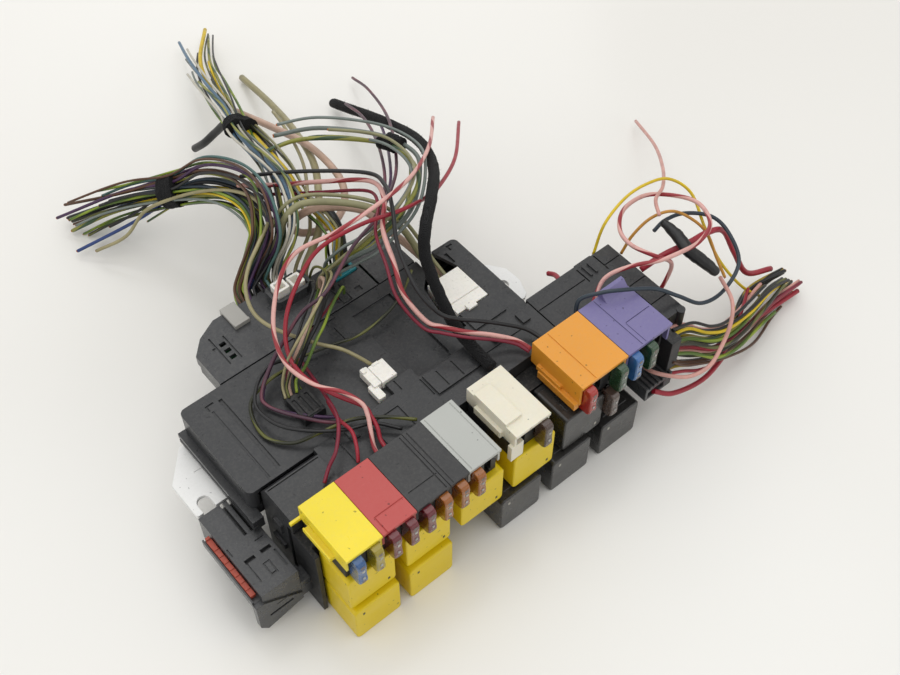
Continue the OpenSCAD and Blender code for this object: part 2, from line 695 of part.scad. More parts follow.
module mounting_bracket() {
    color("#dcdcd8")
    place() {
        difference() {
            translate([0, 0, 36]) linear_extrude(bracket_t) offset(r = 1.5, $fn = 24) offset(delta = -1.5)
                bracket_outline();
            translate([-23.5, 98 - bracket_slot_w / 2, 30]) cylinder(d = bracket_slot_w, h = 12, $fn = 48);
            block([-23.5 - bracket_slot_w / 2, 80, 30], [bracket_slot_w, 18 - bracket_slot_w / 2, 12]);
            translate([186.5, 103, 30]) cylinder(d = 7, h = 12, $fn = 48);
            for (p = screw_places) {
                translate([p[0], p[1], 30]) cylinder(d = 3.2, h = 12, $fn = 32);
            }
        }
        // pressed stiffening bead and the bosses that carry the tray
        block([-18, 112, 38.4], [8, 1.4, 0.6]);
        for (p = screw_places) {
            translate([p[0], p[1], 36 + bracket_t - 0.1]) {
                difference() {
                    cylinder(d = 8, h = 6.1 - bracket_t, $fn = 40);
                    translate([0, 0, -1]) cylinder(d = 3.2, h = 8, $fn = 32);
                }
            }
        }
    }
}

module screw(p) {
    translate([p[0], p[1], 34]) {
        difference() {
            cylinder(d = 6, h = 2, $fn = 40);
            block([-2, -0.5, -0.5], [4, 1, 1.4]);
            block([-0.5, -2, -0.5], [1, 4, 1.4]);
        }
        translate([0, 0, 1.5]) cylinder(d = 2.8, h = 8, $fn = 32);
    }
}

module cover_screws() {
    color("#8f9193")
    place() {
        for (p = screw_places) {
            screw(p);
        }
    }
}

module left_connector() {
    color("#232427")
    place() {
        difference() {
            union() {
                block([-31.4, 31.8, 12], [21.6, 55.2, 28]);
                // lower corner of the front and the lip below it
                translate([0, 34.6, 0])
                    rotate([90, 0, 0])
                        linear_extrude(3.6)
                            polygon([[-36, 33], [-31, 33], [-10, 18], [-10, 12], [-32, 6.4], [-36, 12]]);
                // ledge and rim that guide the lock strip
                block([-36, 34, 30], [5, 44, 3.4]);
                block([-36, 34, 33], [0.9, 44, 2.8]);
            }
            groove([-29.6, 30, 18.2], 14, 5, 1, false);
            // latch windows and moulded marks in the top
            block([-27.2, 50.8, 37], [5.8, 2.2, 5]);
            block([-17.8, 50.8, 37], [5.8, 2.2, 5]);
            groove([-20.8, 37.6, 40], 8.4, 0.7, 0.6, true);
            groove([-17.6, 37.6, 40], 8.4, 0.7, 0.6, true);
            groove([-20.8, 45.4, 40], 3.9, 0.7, 0.6, false);
            groove([-20.8, 37.6, 40], 3.9, 1.6, 0.9, false);
            groove([-27, 38.4, 40], 13, 0.7, 0.8, true);
            groove([-30.4, 58.6, 40], 5, 0.7, 0.8, true);
            groove([-16.6, 58.4, 40], 5, 0.7, 0.8, false);
            groove([-12.2, 38, 40], 11, 1, 1, true);
            // deep channels toward the back
            groove([-19, 64.4, 40], 24, 1.8, 5, true);
            groove([-14.8, 64.4, 40], 24, 1.4, 6, true);
            // hollow that takes the loose plug
            block([-28, 75, 16], [12, 14, 18]);
            block([-24.8, 31, 24], [8, 1.6, 0.8]);
        }
        // stub that joins the connector to the socket board
        block([-10, 32, 12], [4.5, 10, 14]);
        block([-6, 32, 12], [2, 8, 14]);
    }
}

module connector_lock() {
    color("#b5523f")
    place() {
        block([-34.8, 37, 33.75], [3.05, 39, 2.4]);
        for (i = [0:6]) {
            block([-34.6, 41 + i * 4.6, 36], [2.6, 2.2, 0.7]);
        }
        block([-34.4, 75.8, 33.75], [2.4, 1.6, 3.4]);
    }
}

module white_connector() {
    color("#e9e7df")
    place() {
        difference() {
            block([138.9, 87.2, 50.4], [21.3, 25.4, 16]);
            block([141, 110.4, 53], [17, 4, 10.6]);
            groove([139.6, 94, 66.4], 20, 0.7, 0.6, false);
        }
        block([145, 84.8, 66.2], [6, 4, 1.4]);
    }
}

module small_header() {
    color("#e4e1d6")
    place() {
        difference() {
            block([78.7, 75.4, tray_top], [9.4, 12.6, 5.6]);
            block([80, 82, tray_top + 1.4], [6.8, 8, 2.8]);
        }
        block([81, 86.4, tray_top + 5.4], [4, 1.6, 0.9]);
    }
}

module small_plug() {
    color("#dcd9cd")
    place() {
        post([74, 76, tray_top], [4.6, 13.4, 5], 0.8);
        post([71.6, 69.2, tray_top], [4.6, 10, 3.8], 0.8);
        block([74.2, 86, tray_top + 4.9], [2.4, 3, 1.2]);
    }
}

module rear_white_plug() {
    color("#e2e0d8")
    place() {
        difference() {
            post([69, 153, tray_top], [8, 8, 12], 1);
            block([70.5, 154.5, 70.5], [5, 5, 9]);
        }
        difference() {
            post([79, 153, tray_top], [8, 8, 9.5], 1);
            block([80.5, 154.5, 68.5], [5, 5, 9]);
        }
    }
}

module teal_insert() {
    color("#3d9aa3")
    place() {
        difference() {
            block([103, 148, 60.2], [14, 11, 6.2]);
            block([105, 150, 62], [10, 7, 6]);
        }
        block([107, 148.5, 66], [6, 2, 1.6]);
    }
}

module grey_clip() {
    color("#a9a7a1")
    place() {
        block([42, 155.5, tray_top], [9.4, 15.85, 2]);
        block([42, 169.35, 56], [9.4, 2, 10]);
        block([42, 155.5, tray_top + 2], [9.4, 1.6, 1]);
    }
}

module terminal_block() {
    color("#222326")
    place() {
        difference() {
            block([34.5, 82, tray_top], [13, 17, 5.6]);
            for (i = [0:2]) {
                block([36 + i * 3.8, 92, tray_top + 1.6], [2.6, 8, 2.4]);
                groove([36.2 + i * 3.8, 84, tray_top + 5.6], 12, 1.8, 1, true);
            }
        }
        block([37, 82.6, tray_top + 5.4], [8, 1.4, 1]);
    }
}

// ---- coloured fuse covers ----

cover_spans = [[0.8, 21.8], [22, 42.2], [42.4, 62.8], [63, 74.4], [74.6, 94.8],
    [104.6, 127.4], [149, 181.1], [181.4, 213.2]];

module hood(i, drop, right_drop) {
    x0 = cover_spans[i][0];
    w = cover_spans[i][1] - x0;
    t = 1.4;
    depth = cover_back - cover_front;
    block([x0, cover_front, cover_top - 2], [w, depth, 2]);
    block([x0, cover_front + 1, cover_top - drop], [t, depth - 1, drop]);
    block([x0 + w - t, cover_front + 1, cover_top - right_drop], [t, depth - 1, right_drop]);
    block([x0, cover_back - 1.5, cover_top - 10], [w, 1.5, 10]);
}

module cover_yellow() {
    color("#f2df3f")
    place() {
        hood(0, 10.8, 10.8);
        // side ledge and the small hinge finger at the back
        block([-2.4, 12, 69.8], [3.6, 21, 2.4]);
        block([-2.4, 12, 69.8], [0.9, 21, 3.4]);
        block([-5.4, 38.4, 70.2], [6.6, 1.6, 2]);
    }
}

module cover_red() {
    color("#b9514c")
    place() {
        difference() {
            hood(1, 10.8, 10.8);
            groove([24.5, 12, cover_top], 17, 0.5, 0.5, false);
            groove([24.5, 2, cover_top], 10.4, 0.5, 0.5, true);
        }
    }
}

module cover_black() {
    color("#3a3a3a")
    place() {
        difference() {
            hood(2, 10.8, 10.8);
            groove([45, 12, cover_top], 17, 0.5, 0.5, false);
            groove([60.6, 3, cover_top], 36, 0.5, 0.5, true);
        }
    }
}

module cover_black_narrow() {
    color("#3d3d3d")
    place() {
        difference() {
            hood(3, 10.8, 10.8);
            groove([65, 3, cover_top], 36, 0.4, 0.4, true);
        }
    }
}

module cover_grey() {
    color("#a8aaac")
    place() {
        difference() {
            hood(4, 10.8, 10.8);
            groove([92.4, 3, cover_top], 36, 0.4, 0.4, true);
            groove([76.4, 3, cover_top], 36, 0.4, 0.4, true);
        }
    }
}

module cover_cream() {
    color("#e9e2c4")
    place() {
        hood(5, 10.8, 10.8);
        block([104.6, cover_front + 8, cover_top - 0.4], [10.4, 24, 2.2]);
        block([102.6, 12, 70], [2.4, 20, 5]);
        // translucent foot that stands on the relay below
        block([102.8, 3.2, 58.6], [8, 3, 12.1]);
    }
}

module cover_orange() {
    color("#e8943a")
    place() {
        difference() {
            hood(6, 16, 10.8);
            groove([158.6, 3, cover_top], 36, 0.5, 0.5, true);
        }
        // stepped rail on the left side
        block([146.4, 4, 61], [3.4, 28, 5]);
        block([147.2, 16, 65.6], [2.4, 18, 3]);
    }
}

module cover_purple() {
    color("#6f66a0")
    place() {
        difference() {
            hood(7, 10.8, 14);
            groove([191.6, 3, cover_top], 36, 0.5, 0.5, true);
            groove([195, 18, cover_top], 17, 0.5, 0.6, false);
            groove([194.4, 3, cover_top], 15, 0.4, 0.4, true);
        }
        // raised tab at the back
        translate([196, 0, 0])
            rotate([90, 0, 90])
                linear_extrude(16.4)
                    polygon([[33, 80], [40.2, 80], [40.2, 84.8], [38, 84.8]]);
    }
}

// ---- cords ----

function unit(v) = v / norm(v);

// Smooth curve through points p, steps pieces per span
function spline_point(p0, p1, p2, p3, t) =
    0.5 * (2 * p1 + (p2 - p0) * t + (2 * p0 - 5 * p1 + 4 * p2 - p3) * t * t
    + (3 * p1 - p0 - 3 * p2 + p3) * t * t * t);

function spline(p, steps) =
    let (n = len(p) - 1)
    concat([for (i = [0:n - 1])
        for (k = [0:steps - 1])
            spline_point(i == 0 ? 2 * p[0] - p[1] : p[i - 1], p[i], p[i + 1],
                i == n - 1 ? 2 * p[n] - p[n - 1] : p[i + 2], k / steps)],
        [p[n]]);

function tangent(c, i) = unit(c[min(i + 1, len(c) - 1)] - c[max(i - 1, 0)]);
function side_of(t, s) = unit(s - (s * t) * t);
function frames(c, i = 0, s = [0, 0, 1]) =
    i >= len(c) ? [] :
    let (t = tangent(c, i), a = side_of(t, i == 0 && abs(t[2]) > 0.9 ? [1, 0, 0] : s))
    concat([[a, cross(t, a)]], frames(c, i + 1, a));

module cord(route, d, steps) {
    sides = 8;
    c = spline(route, steps);
    f = frames(c);
    n = len(c);
    ring = [for (i = [0:n - 1])
        for (k = [0:sides - 1])
            c[i] + d / 2 * (cos(360 * k / sides) * f[i][0] + sin(360 * k / sides) * f[i][1])];
    walls = [for (i = [0:n - 2])
        for (k = [0:sides - 1])
            [i * sides + k, i * sides + (k + 1) % sides, (i + 1) * sides + (k + 1) % sides,
                (i + 1) * sides + k]];
    polyhedron(points = ring,
        faces = concat([[for (k = [0:sides - 1]) k]], [for (w = walls) [w[3], w[2], w[1], w[0]]],
            [[for (k = [sides - 1:-1:0]) (n - 1) * sides + k]]));
}

module wires_left() {
    color("#5a5a3a")
    place() {
        for (w = left_wires) {
            cord(w[2], w[0], w[1]);
        }
    }
}

module wires_right() {
    color("#7a6a4a")
    place() {
        for (w = right_wires) {
            cord(w[2], w[0], w[1]);
        }
    }
}

tray_base();
tray_cover();
module_base();
module_cover();
circuit_board();
underside_housing();
socket_board();
fuse_sockets();
contact_sleeves();
busbar();
left_block();
middle_cover();
right_block();
right_end_housing();
right_plug();
mounting_bracket();
cover_screws();
left_connector();
connector_lock();
white_connector();
small_header();
small_plug();
rear_white_plug();
teal_insert();
grey_clip();
terminal_block();
cover_yellow();
cover_red();
cover_black();
cover_black_narrow();
cover_grey();
cover_cream();
cover_orange();
cover_purple();

// The relays and fuses, one node each
module upper_relay(i, tint) {
    color(tint) place() relay(upper_x[i], upper_z, upper_setback);
}

module lower_relay(i, tint) {
    color(tint) place() relay(lower_x[i], 0, 0);
}

module top_fuse(x, tint) {
    color(tint) place() fuse(x, fuse_mid_z);
}

upper_relay(0, "#e3c722");  // relay_upper_1
upper_relay(1, "#e3c722");  // relay_upper_2
upper_relay(2, "#e3c722");  // relay_upper_3
upper_relay(3, "#e3c722");  // relay_upper_4
upper_relay(4, "#3b3a37");  // relay_upper_5
lower_relay(0, "#e3c722");  // relay_lower_1
lower_relay(1, "#e3c722");  // relay_lower_2
lower_relay(3, "#3b3a37");  // relay_lower_4
lower_relay(4, "#3b3a37");  // relay_lower_5
lower_relay(5, "#3b3a37");  // relay_lower_6
top_fuse(left_fuse_x[0], "#4f7bb5");  // fuse_01
top_fuse(left_fuse_x[1], "#d9b93a");  // fuse_02
top_fuse(left_fuse_x[2], "#7c2433");  // fuse_03
top_fuse(left_fuse_x[3], "#a3233a");  // fuse_04
top_fuse(left_fuse_x[4], "#8c2036");  // fuse_05
top_fuse(left_fuse_x[5], "#b9822f");  // fuse_06
top_fuse(left_fuse_x[6], "#c77a2c");  // fuse_07
top_fuse(left_fuse_x[7], "#c77a2c");  // fuse_08
top_fuse(cream_fuse_x[1], "#5a3f33");  // fuse_09
top_fuse(right_fuse_x[0], "#c23a36");  // fuse_10
top_fuse(right_fuse_x[2], "#4b7a4f");  // fuse_12
top_fuse(right_fuse_x[3], "#4f8fc9");  // fuse_13
top_fuse(right_fuse_x[4], "#4b7a4f");  // fuse_14
color("#8b7f7a") place() fuse(aux_fuse_x, aux_fuse_z + 6.5);  // fuse_11
wires_left();
wires_right();
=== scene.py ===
import json
import math
import random

import bmesh
import bpy
import numpy as np
from mathutils import Matrix, Vector, noise


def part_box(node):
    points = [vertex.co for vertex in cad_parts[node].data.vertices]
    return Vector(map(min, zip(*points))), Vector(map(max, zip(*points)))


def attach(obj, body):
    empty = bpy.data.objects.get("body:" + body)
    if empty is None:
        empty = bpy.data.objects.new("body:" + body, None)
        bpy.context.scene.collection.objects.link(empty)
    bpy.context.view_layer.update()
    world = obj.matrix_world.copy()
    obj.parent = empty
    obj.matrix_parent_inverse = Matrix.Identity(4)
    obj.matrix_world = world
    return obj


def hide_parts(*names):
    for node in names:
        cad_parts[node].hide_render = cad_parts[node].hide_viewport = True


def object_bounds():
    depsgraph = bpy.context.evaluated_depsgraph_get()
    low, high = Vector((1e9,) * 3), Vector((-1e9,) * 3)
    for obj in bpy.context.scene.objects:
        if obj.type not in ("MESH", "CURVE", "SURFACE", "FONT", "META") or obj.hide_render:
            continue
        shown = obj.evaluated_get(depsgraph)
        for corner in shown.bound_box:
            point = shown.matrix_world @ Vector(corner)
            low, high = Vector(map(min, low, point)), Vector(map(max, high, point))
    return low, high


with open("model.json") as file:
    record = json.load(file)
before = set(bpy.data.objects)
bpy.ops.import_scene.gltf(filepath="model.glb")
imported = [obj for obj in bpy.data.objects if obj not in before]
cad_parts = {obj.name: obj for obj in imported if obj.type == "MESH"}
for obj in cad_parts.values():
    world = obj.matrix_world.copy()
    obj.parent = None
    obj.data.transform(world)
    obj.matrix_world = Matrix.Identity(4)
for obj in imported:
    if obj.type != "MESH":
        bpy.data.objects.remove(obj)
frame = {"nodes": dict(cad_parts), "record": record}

random.seed(7)
LO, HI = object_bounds()
BOX_LO, BOX_HI = LO.copy(), HI.copy()
MM = 0.001
TURN = 2 * math.pi
# Middle of the panel's box without the cords, from the corner that the routes are measured from
MID = Vector((99.8, 84.1, 0))


def T(x, y, z):
    """A place measured in mm from the corner of the first lower relay, in the row frame in metres."""
    return (Vector((x, y, z)) - MID) * MM


# ---- camera ----
cam_data = bpy.data.cameras.new("camera")
cam = bpy.data.objects.new("camera", cam_data)
bpy.context.scene.collection.objects.link(cam)
bpy.context.scene.camera = cam
cam_data.lens, cam_data.sensor_width = 49.84, 36
cam_data.dof.use_dof = False
cam_data.clip_start, cam_data.clip_end = 0.01, 20
cam.location = (-0.2270, -0.3076, 0.5957)
AZ, EL = math.radians(-40.0), math.radians(53.39)
LOOK = Vector((-math.sin(AZ) * math.cos(EL), math.cos(AZ) * math.cos(EL), -math.sin(EL)))
cam.rotation_mode = "QUATERNION"
cam.rotation_quaternion = LOOK.to_track_quat("-Z", "Y")


# ---- materials ----
def srgb(h):
    v = [int(h[i:i + 2], 16) / 255 for i in (1, 3, 5)]
    return tuple(c / 12.92 if c <= 0.04045 else ((c + 0.055) / 1.055) ** 2.4 for c in v) + (1,)


def tone(colour, factor, lift=0.0):
    """The colour made darker or lighter."""
    return tuple(min(1, c * factor + lift) for c in colour[:3]) + (1,)


class Nodes:
    """Small helper that adds shader nodes and links them."""

    def __init__(self, name):
        self.m = bpy.data.materials.new(name)
        self.m.use_nodes = True
        self.t = self.m.node_tree
        self.b = self.t.nodes["Principled BSDF"]
        self.coord = self.add("ShaderNodeTexCoord").outputs["Object"]

    def add(self, kind, **sockets):
        n = self.t.nodes.new(kind)
        for k, v in sockets.items():
            self.put(n.inputs[k.replace("_", " ")], v)
        return n

    def put(self, socket, v):
        if isinstance(v, bpy.types.NodeSocket):
            self.t.links.new(v, socket)
        else:
            socket.default_value = v

    def surface(self, **values):
        """Sets inputs of the surface shader."""
        for k, v in values.items():
            self.put(self.b.inputs[k.replace("_", " ")], v)

    def noise(self, scale, detail=3.0, rough=0.55, stretch=None, seed=0.0):
        co = self.coord
        if stretch or seed:
            place = (seed, seed * 0.7, seed * 0.3)
            mp = self.add("ShaderNodeMapping", Vector=co, Location=place, Scale=stretch or (1, 1, 1))
            co = mp.outputs["Vector"]
        n = self.add("ShaderNodeTexNoise", Vector=co, Scale=scale, Detail=detail, Roughness=rough)
        return n.outputs["Fac"]

    def ramp(self, fac, lo, hi, a=0.0, b=1.0):
        """fac spread from lo..hi onto a..b."""
        n = self.add("ShaderNodeMapRange", Value=fac, From_Min=lo, From_Max=hi, To_Min=a, To_Max=b)
        return n.outputs["Result"]

    def math(self, op, a, b=0.0):
        n = self.t.nodes.new("ShaderNodeMath")
        n.operation = op
        n.use_clamp = True
        self.put(n.inputs[0], a)
        self.put(n.inputs[1], b)
        return n.outputs[0]

    def times(self, a, b):
        return self.math("MULTIPLY", a, b)

    def dot(self, a, b):
        n = self.t.nodes.new("ShaderNodeVectorMath")
        n.operation = "DOT_PRODUCT"
        self.put(n.inputs[0], a)
        self.put(n.inputs[1], b)
        return n.outputs["Value"]

    def split(self, vector):
        """The three outputs x, y and z of a vector."""
        return self.add("ShaderNodeSeparateXYZ", Vector=vector).outputs

    def mix(self, fac, a, b):
        n = self.t.nodes.new("ShaderNodeMix")
        n.data_type = "RGBA"
        self.put(n.inputs[0], fac)
        self.put(n.inputs[6], a)
        self.put(n.inputs[7], b)
        return n.outputs[2]

    def bump(self, height, strength, distance, normal=None):
        n = self.add("ShaderNodeBump", Height=height, Strength=strength, Distance=distance)
        if normal is not None:
            self.put(n.inputs["Normal"], normal)
        return n.outputs["Normal"]


MATS = {}
WEAR_REACH = 0.4 * MM  # how far from an edge its pale wear goes


def plastic(name, colour, rough=0.45, grain=0.12, vary=0.06, scuff=0.2, dust=0.1, wear=0.3,
            wear_colour=None, dust_colour="#b4b0a6", coat=0.0, trans=0.0, sss=0.0):
    """Moulded plastic: cloudy colour, fine grain, scuffs, dust on upward faces and pale worn edges."""
    n = Nodes(name)
    base = srgb(colour)
    pale = srgb(wear_colour) if wear_colour else tone(base, 1.5, 0.06)
    cloud = n.ramp(n.noise(22, 2, 0.5), 0.25, 0.75)
    col = n.mix(cloud, tone(base, 1 - vary), tone(base, 1 + vary, 0.004))
    # edges, where the rounded normal leaves the flat one
    flat_normal = n.add("ShaderNodeNewGeometry").outputs["Normal"]
    rounding = n.add("ShaderNodeBevel", Radius=WEAR_REACH)
    rounding.samples = 4
    round_normal = rounding.outputs["Normal"]
    edge = n.ramp(n.dot(round_normal, flat_normal), 0.985, 0.86)
    worn = n.times(edge, n.times(n.ramp(n.noise(260, 4, 0.7), 0.42, 0.62), wear))
    col = n.mix(worn, col, pale)
    # scuffs: long thin marks in patches
    lines = n.ramp(n.noise(140, 6, 0.75, stretch=(1, 7, 3), seed=3.1), 0.60, 0.72)
    patches = n.times(n.ramp(n.noise(35, 3, 0.6, seed=8.0), 0.45, 0.65), scuff)
    marks = n.times(lines, patches)
    col = n.mix(marks, col, pale)
    # dust on what faces up
    upward = n.ramp(n.split(flat_normal)[2], 0.5, 1.0)
    lie = n.times(upward, n.times(n.ramp(n.noise(700, 6, 0.7, seed=5.0), 0.45, 0.8), dust))
    col = n.mix(lie, col, srgb(dust_colour))
    # a few dark specks of dirt
    spots = n.ramp(n.noise(420, 1, 0.4, seed=11.0), 0.735, 0.765, 0.0, 0.7)
    col = n.mix(spots, col, tone(base, 0.25))
    polish = n.ramp(n.noise(90, 4, 0.6, seed=2.0), 0.3, 0.7, rough - 0.07, rough + 0.08)
    fine = n.bump(n.noise(1400, 2, 0.5), grain, 0.12 * MM, round_normal)
    n.surface(Base_Color=col, Roughness=n.math("ADD", polish, n.times(n.math("ADD", marks, lie), 0.25)),
              Normal=n.bump(n.noise(110, 2, 0.5, seed=4.0), 0.12, 0.8 * MM, fine), IOR=1.48,
              Coat_Weight=coat, Coat_Roughness=0.15, Transmission_Weight=trans)
    if sss:
        n.surface(Subsurface_Weight=sss, Subsurface_Scale=3 * MM, Subsurface_Radius=(1.0, 0.7, 0.4))
    MATS[name] = n.m


def metal(name, colour, rough=0.3):
    n = Nodes(name)
    base = srgb(colour)
    n.surface(Base_Color=n.mix(n.ramp(n.noise(300, 4, 0.6), 0.35, 0.65), tone(base, 0.7), base),
              Roughness=n.ramp(n.noise(500, 3, 0.6, seed=1.0), 0.3, 0.7, rough - 0.08, rough + 0.15),
              Normal=n.bump(n.noise(1500, 2), 0.15, 0.1 * MM), Metallic=1.0)
    MATS[name] = n.m


def insulation(name, colour, stripe=None):
    """Wire insulation: slightly uneven, a little dirty, with an optional long stripe from the UV map."""
    n = Nodes(name)
    base = srgb(colour)
    col = n.mix(n.ramp(n.noise(70, 4, 0.6), 0.3, 0.7), tone(base, 0.72), base)
    if stripe:
        across = n.split(n.add("ShaderNodeTexCoord").outputs["UV"])[1]
        col = n.mix(n.ramp(n.math("PINGPONG", across, 0.5), 0.17, 0.2), col, srgb(stripe))
    dirt = n.ramp(n.noise(240, 5, 0.7, seed=6.0), 0.55, 0.75, 0.0, 0.35)
    n.surface(Base_Color=n.mix(dirt, col, tone(base, 0.45, 0.01)),
              Roughness=n.ramp(n.noise(200, 3, 0.6, seed=1.5), 0.3, 0.7, 0.30, 0.50),
              Normal=n.bump(n.noise(900, 2, 0.5), 0.2, 0.1 * MM), IOR=1.5)
    MATS[name] = n.m


def cloth_tape(name, colour):
    """Black cloth harness tape: a fine crossed weave with lint and wound overlaps."""
    n = Nodes(name)
    base = srgb(colour)
    warp, weft = (n.add("ShaderNodeTexWave", Vector=n.coord, Scale=900.0, Distortion=1.5) for _ in range(2))
    weft.bands_direction = "Z"
    weave = n.times(warp.outputs["Fac"], weft.outputs["Fac"])
    lint = n.ramp(n.noise(900, 5, 0.8, seed=2.0), 0.62, 0.78, 0.0, 0.25)
    col = n.mix(weave, tone(base, 0.4), tone(base, 1.3))
    lumps = n.math("ADD", weave, n.noise(260, 4, 0.7))
    n.surface(Base_Color=n.mix(lint, col, srgb("#4a4844")), Roughness=0.92, Sheen_Weight=0.08,
              Sheen_Roughness=0.5, Specular_IOR_Level=0.2, Normal=n.bump(lumps, 1.0, 0.8 * MM))
    MATS[name] = n.m


